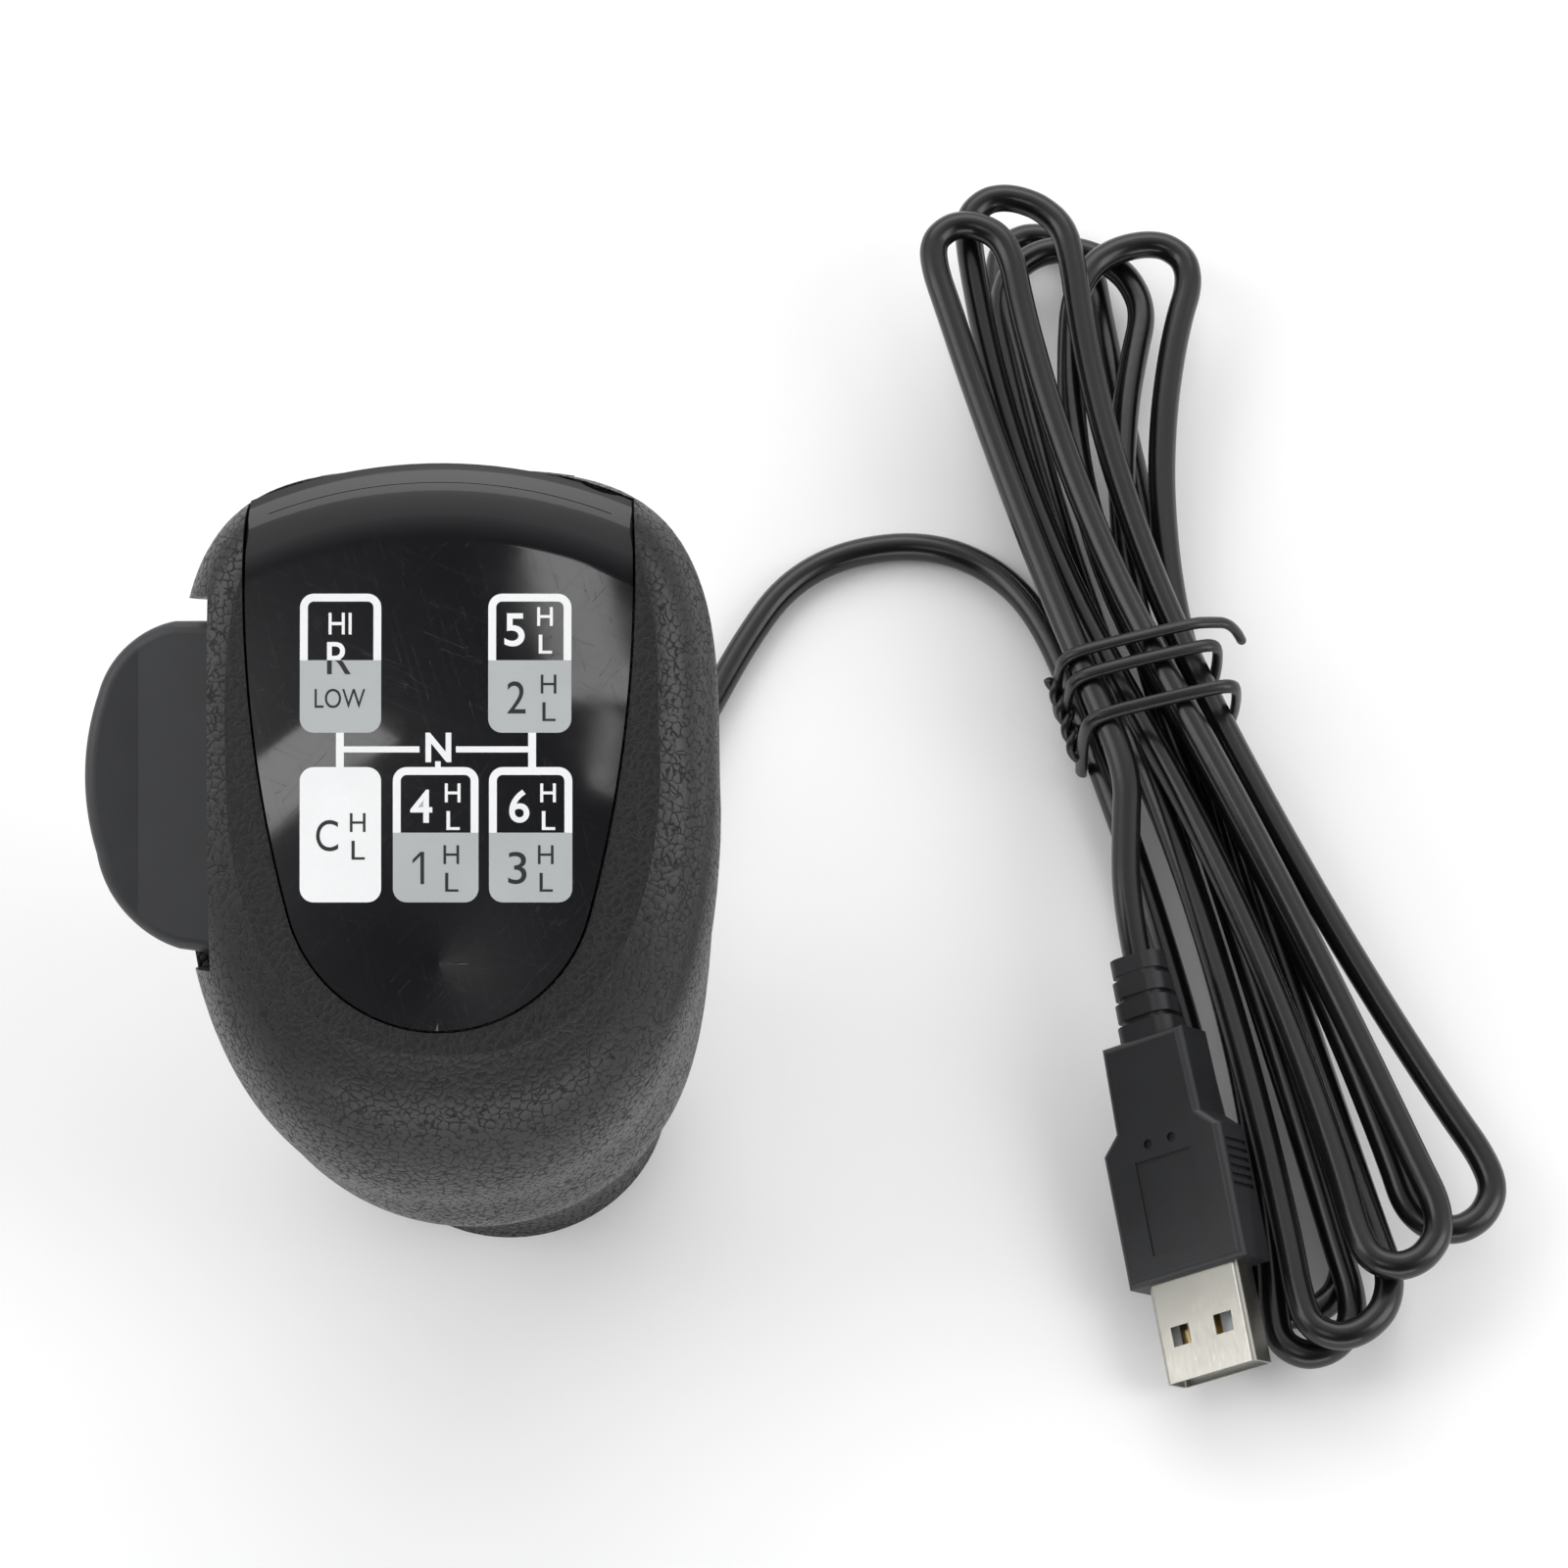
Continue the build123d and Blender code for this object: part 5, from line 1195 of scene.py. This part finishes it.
@dataclass
class Hank:
    """The hank: legs that cross its waist in columns and layers, and loops that fan out from there."""

    waist: Point = (77.6, 48.8, 3.75)
    slant: float = 14.0
    column_step: float = 4.6
    layer_step: float = 4.05
    legs: tuple[tuple[float, float, float, float], ...] = (
        (-1.5, 0, 4.0, 0.0), (1.5, 0, -1.5, -0.5), (-0.5, 0, 8.0, 1.5), (0.5, 1, 2.0, -1.0),
        (-0.5, 1, 4.5, 1.5), (1.5, 1, 0.5, -1.0), (0.5, 2, 13.0, 1.0), (1.5, 2, 9.0, -2.0),
        (-0.5, 2, 12.5, 1.0), (0.5, 3, 11.0, 1.0), (-1.5, 3, 6.0, 0.0),
    )
    tips: tuple[tuple[Point, float, float, float], ...] = (
        ((95.5, -29.0, 1.75), 16.0, 6.0, 6.0), ((66.5, 119.5, 1.75), -9.0, 6.0, 6.0),
        ((96.5, -35.5, 6.0), 19.0, 5.5, 5.5), ((70.5, 115.0, 6.0), -9.0, 11.0, 11.0),
        ((100.0, -34.5, 10.0), 21.0, 5.5, 6.5), ((80.5, 113.5, 10.0), -2.0, 6.0, 9.0),
        ((114.5, -20.5, 9.0), 29.0, 6.5, 6.0), ((61.0, 117.0, 15.8), 0.0, 8.0, 5.0),
        ((107.0, -27.0, 13.8), 26.0, 5.5, 5.5), ((56.0, 111.0, 19.2), 0.0, 5.0, 5.5),
    )
    first_step: float = 2.3
    growth: float = 1.32
    longest_step: float = 15.0
    most_steps: int = 40

    def slanted(self, across: float, along: float = 0.0, up: float = 0.0) -> np.ndarray:
        """A place near the waist: across the hank, along its axis towards the top, and up.

        Args:
            across: How far to the right.
            along: How far to the hank's top.
            up: How far up.

        Returns:
            The place, in millimetres.
        """
        cosine, sine = math.cos(math.radians(self.slant)), math.sin(math.radians(self.slant))
        moved = (across * cosine - along * sine, across * sine + along * cosine, up)
        return np.array(self.waist) + np.array(moved)

    def leg(self, index: int) -> tuple[np.ndarray, np.ndarray]:
        """Where a leg crosses the waist, and which way the cord runs there.

        Args:
            index: The leg's number, from the lowest.

        Returns:
            The place and the direction.
        """
        column, layer, lean, climb = self.legs[index]
        heading, rise = math.radians(self.slant + lean), math.radians(climb)
        way = (math.sin(heading) * math.cos(rise), -math.cos(heading) * math.cos(rise), math.sin(rise))
        place = self.slanted(column * self.column_step, 0.0, layer * self.layer_step)
        return place, np.array(way) * (1 if index % 2 == 0 else -1)

    def bend(self, start: np.ndarray, along: np.ndarray, end: np.ndarray,
             distances: np.ndarray) -> np.ndarray:
        """Points of a steady bend that leaves start in a direction and comes to end, at distances along it.

        The bend's radius is the span's square over twice its offset from the direction, and a point
        is start, plus the radius times the sine along and one less the cosine across.

        Args:
            start: Where it starts.
            along: Its direction there.
            end: Where it ends.
            distances: How far along it each point lies.

        Returns:
            One point per row.
        """
        span = end - start
        across = unit(span - along * (span @ along))
        radius = (span @ span) / (2 * (span @ across))
        turn = (distances / radius)[:, None]
        return start + radius * (np.sin(turn) * along + (1 - np.cos(turn)) * across)

    def bend_length(self, start: np.ndarray, along: np.ndarray, end: np.ndarray) -> float:
        """How long the bend from start to end is.

        Args:
            start: Where it starts.
            along: Its direction there.
            end: Where it ends.

        Returns:
            The length in millimetres.
        """
        span = end - start
        half = math.acos(np.clip((span @ along) / np.linalg.norm(span), -1, 1))
        return float(np.linalg.norm(span) * half / max(math.sin(half), 1e-9))

    def half_loop(self, place: np.ndarray, along: np.ndarray, tip: np.ndarray, across: np.ndarray,
                  width: float) -> np.ndarray:
        """From the waist out to a loop's tip: a long easy bend, then a tight one of the loop's width.

        The points stand closest together at the tip, and each step back from it is longer by the
        same share.

        Args:
            place: Where the leg crosses the waist.
            along: Its direction there.
            tip: The loop's outermost point.
            across: The cord's direction at the tip.
            width: The radius with which it turns round the tip.

        Returns:
            The points from the waist to the tip, both included.
        """
        span = tip - place
        turned = along @ span + width * (1 - along @ across)
        handle = (span @ span - 2 * width * (span @ across)) / (2 * turned)
        first, second = place + along * handle, tip - across * width
        share = width / (handle + width)
        middle = first * share + second * (1 - share)
        heading = unit(second - first)
        long_part = self.bend_length(place, along, middle)
        whole = long_part + self.bend_length(middle, heading, tip)
        steps = np.minimum(self.first_step * self.growth ** np.arange(self.most_steps), self.longest_step)
        back = np.r_[0.0, np.cumsum(steps)]
        count = int(np.argmin(np.abs(back - whole)))
        distances = whole - back[:count + 1][::-1] * whole / back[count]
        out = self.bend(place, along, middle, np.minimum(distances, long_part))
        tight = self.bend(middle, heading, tip, np.maximum(distances - long_part, 0.0))
        return np.where((distances > long_part)[:, None], tight, out)

    def line(self) -> np.ndarray:
        """The whole hank's own line, loop after loop, from the first leg's waist to the last one's.

        Returns:
            One point per row, in millimetres.
        """
        points = [self.leg(0)[0][None]]
        for index, (tip, turn, width_in, width_out) in enumerate(self.tips):
            side = 1 if index % 2 == 0 else -1
            across = np.array([math.cos(math.radians(turn)), math.sin(math.radians(turn)), 0.0]) * side
            place, along = self.leg(index)
            points.append(self.half_loop(place, along, np.array(tip), across, width_in)[1:])
            place, along = self.leg(index + 1)
            points.append(self.half_loop(place, -along, np.array(tip), -across, width_out)[-2::-1])
        return np.vstack(points)

    def reach(self, side: int, along: np.ndarray, clear: float) -> np.ndarray:
        """How far out the legs lie to one side of the waist, at places along it, plus a clearance.

        Args:
            side: 1 for the right side and -1 for the left one.
            along: The places along the hank.
            clear: The clearance.

        Returns:
            One distance across per place, in millimetres.
        """
        zero = self.slanted(0)
        across, ahead = self.slanted(1) - zero, self.slanted(0, 1) - zero
        out = []
        for index in range(len(self.legs)):
            place, heading = self.leg(index)
            moved = place[None] + heading[None] * (np.asarray(along) / (heading @ ahead))[:, None]
            out.append((moved - zero) @ across * side)
        return side * (np.max(out, axis=0) + clear)


@dataclass
class Cord:
    """The cord from the knob's grommet, over the floor, through the hank and into the plug."""

    paints: Paints
    hank: Hank
    plug: Plug
    radius: float = 1.75
    exit_angle: float = 65.0
    exit_height: float = 8.0
    exit_radius: float = 26.0
    first_run: float = 8.0
    arrive_run: float = 15.0
    leave_run: float = 12.0
    end_run: float = 7.8
    length: float = 1716.0
    lead: tuple[Point, ...] = (
        (18.6, 40.3, 4.6), (23.2, 50.5, 1.9), (27.8, 60.0, 1.85), (33.2, 68.5, 1.85),
        (41.0, 73.2, 1.85), (51.5, 74.4, 1.85), (60.5, 70.0, 2.4),
    )
    tail: Point = (74.6, 28.9, 15.2)

    def outward(self, radius: float) -> np.ndarray:
        """A place on the line on which the cord leaves the knob, at a distance from the knob's axis."""
        turn = math.radians(self.exit_angle)
        return np.array([radius * math.cos(turn), radius * math.sin(turn), self.exit_height])

    def hank_points(self) -> np.ndarray:
        """The hank's control points: its line, pushed out by an eighth of its second difference.

        A spline of this order then passes through the line where it bends, and not inside it.

        Returns:
            One control point per row, in millimetres.
        """
        line = self.hank.line()
        pushed = line.copy()
        pushed[1:-1] -= (line[2:] - 2 * line[1:-1] + line[:-2]) / 8
        return pushed

    def route(self) -> np.ndarray:
        """All the control points, from the grommet's tip to the strain relief.

        Returns:
            One control point per row, in millimetres.
        """
        first, first_along = self.hank.leg(0)
        last, last_along = self.hank.leg(len(self.hank.legs) - 1)
        end = self.plug.cord_end()
        start = [self.outward(self.exit_radius), self.outward(self.exit_radius + self.first_run)]
        arrive = first - first_along * self.arrive_run
        leave = last + last_along * self.leave_run
        finish = [leave, self.tail, end - self.plug.along() * self.end_run, end]
        return np.vstack([start, self.lead, [arrive], self.hank_points(), finish])

    def build(self, pieces: list[Piece]) -> Piece:
        """Args:
            pieces: The pieces that lie on the cord. Not used.

        Returns:
            The cord.
        """
        route = self.route()
        cord = add_spline("usb_cord", route, self.radius)
        self.paints.dress(cord, Finish.CORD_JACKET, Finish.CORD_JACKET.slot)
        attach(cord, "grip")
        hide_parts("cord_lead", "cord_hank", "cord_tail")
        tuple(self.outward(self.exit_radius) * MM)
        LOG.info("usb_cord: %d control points", len(route))
        return cord


@dataclass
class TwistTie:
    """The black tie: two and a half turns round the waist, and the twist that locks them."""

    paints: Paints
    hank: Hank
    cord_radius: float = 1.75
    half_width: float = 0.86
    half_height: float = 0.62
    clear: float = 1.1
    squareness: float = 6.0
    step: float = 22.5
    turns_made: float = 2.5
    over_floor: float = 0.85
    places: tuple[float, ...] = (4.6, 3.8, 1.4, 0.6, -4.6, -5.2)
    tail: tuple[Point, Point] = ((3.6, -1.4, -3.0), (2.6, -0.4, 0.3))
    middle_height: float = 6.0
    section_points: int = 16
    strand_radius: float = 0.6
    strand_points: int = 60
    twist_radius: float = 0.62
    twist_turns: float = 2.25
    twist_clear: float = 1.5
    twist_along: tuple[float, float] = (4.2, -5.4)
    twist_up: tuple[float, float] = (8.2, 4.8)

    def turns(self) -> np.ndarray:
        """The turns' control points: a squared ellipse round the legs, moved along the hank as it goes.

        Its height and width follow the cosine and sine of the turn, each to a power below one,
        so that it lies flat on the legs and bends at the corners.

        Returns:
            One control point per row, in millimetres.
        """
        angle = np.radians(np.arange(self.step, self.turns_made * 360 + 1.01 * self.step, self.step))
        along = np.interp(angle, np.arange(len(self.places)) * math.pi, self.places)
        clear = self.cord_radius + self.clear
        right, left = self.hank.reach(1, along, clear), self.hank.reach(-1, along, clear)
        top = self.hank.legs[-1][1] * self.hank.layer_step + clear
        bottom = self.over_floor - self.hank.waist[2]
        power = 2 / self.squareness
        cosine = np.sign(np.cos(angle)) * np.abs(np.cos(angle)) ** power
        sine = np.sign(np.sin(angle)) * np.abs(np.sin(angle)) ** power
        across = (right + left) / 2 + (right - left) / 2 * cosine
        up = (top + bottom) / 2 + (top - bottom) / 2 * sine
        turned = [self.hank.slanted(*row) for row in np.stack([across, along, up], -1)]
        tail = np.array([across[0], along[0], up[0]]) + np.array(self.tail)
        return np.vstack([[self.hank.slanted(*row) for row in tail], turned[1:]])

    def section(self, width: float, height: float) -> np.ndarray:
        """A flattened round section, as points round an ellipse."""
        angle = np.linspace(0, 2 * math.pi, self.section_points, endpoint=False)
        return np.stack([width * np.cos(angle), height * np.sin(angle)], -1)

    def twist(self, phase: float) -> np.ndarray:
        """One strand of the locking twist: a helix along the hank's left side.

        Args:
            phase: Where on its circle the strand starts, in radians.

        Returns:
            One point per row, in millimetres.
        """
        along = np.linspace(*self.twist_along, self.strand_points)
        up = np.linspace(*self.twist_up, self.strand_points)
        left = self.hank.reach(-1, along, self.cord_radius + self.twist_clear)
        angle = np.linspace(0, 2 * math.pi * self.twist_turns, self.strand_points) + phase
        aside, over = self.twist_radius * np.cos(angle), self.twist_radius * np.sin(angle)
        rows = np.stack([left + aside, along, up + over], -1)
        return np.array([self.hank.slanted(*row) for row in rows])

    def build(self) -> Piece:
        """Sweep the flat section round the turns, and add the twist's two strands.

        Returns:
            The tie.
        """
        line = spline_line(self.turns())
        outward = line - self.hank.slanted(0, 0, self.middle_height)
        shapes = [carried_section(line, self.section(self.half_width, self.half_height), outward)]
        round_wire = self.section(self.strand_radius, self.strand_radius)
        for phase in (0.0, math.pi):
            shapes.append(carried_section(self.twist(phase), round_wire, np.array([0.0, 0.0, 1.0])))
        vertices, faces = joined(shapes)
        tie = add_mesh("waist_tie", vertices * MM, faces)
        self.paints.dress(tie, Finish.TIE_COATING, Finish.TIE_COATING.slot)
        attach(tie, "grip")
        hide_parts("twist_tie")
        LOG.info("waist_tie: %d vertices", len(vertices))
        return tie


def main() -> None:
    """Build the studio, then each sub-assembly in order."""
    logging.basicConfig(level=logging.INFO, format="%(name)s %(message)s")
    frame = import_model()
    paints = Paints()
    Studio().build()
    Knob(frame, paints).build()
    GearPrint(Head(), PlateTop(), paints).build()
    hank = Hank()
    tie = TwistTie(paints, hank).build()
    nodes = frame["nodes"]
    on_cord = ("usb_strain_relief", "usb_overmold", "usb_metal_shell", "usb_tongue", "usb_contacts")
    Cord(paints, hank, Plug()).build([tie, *(nodes[name] for name in on_cord)])


if __name__ == "__main__":
    main()
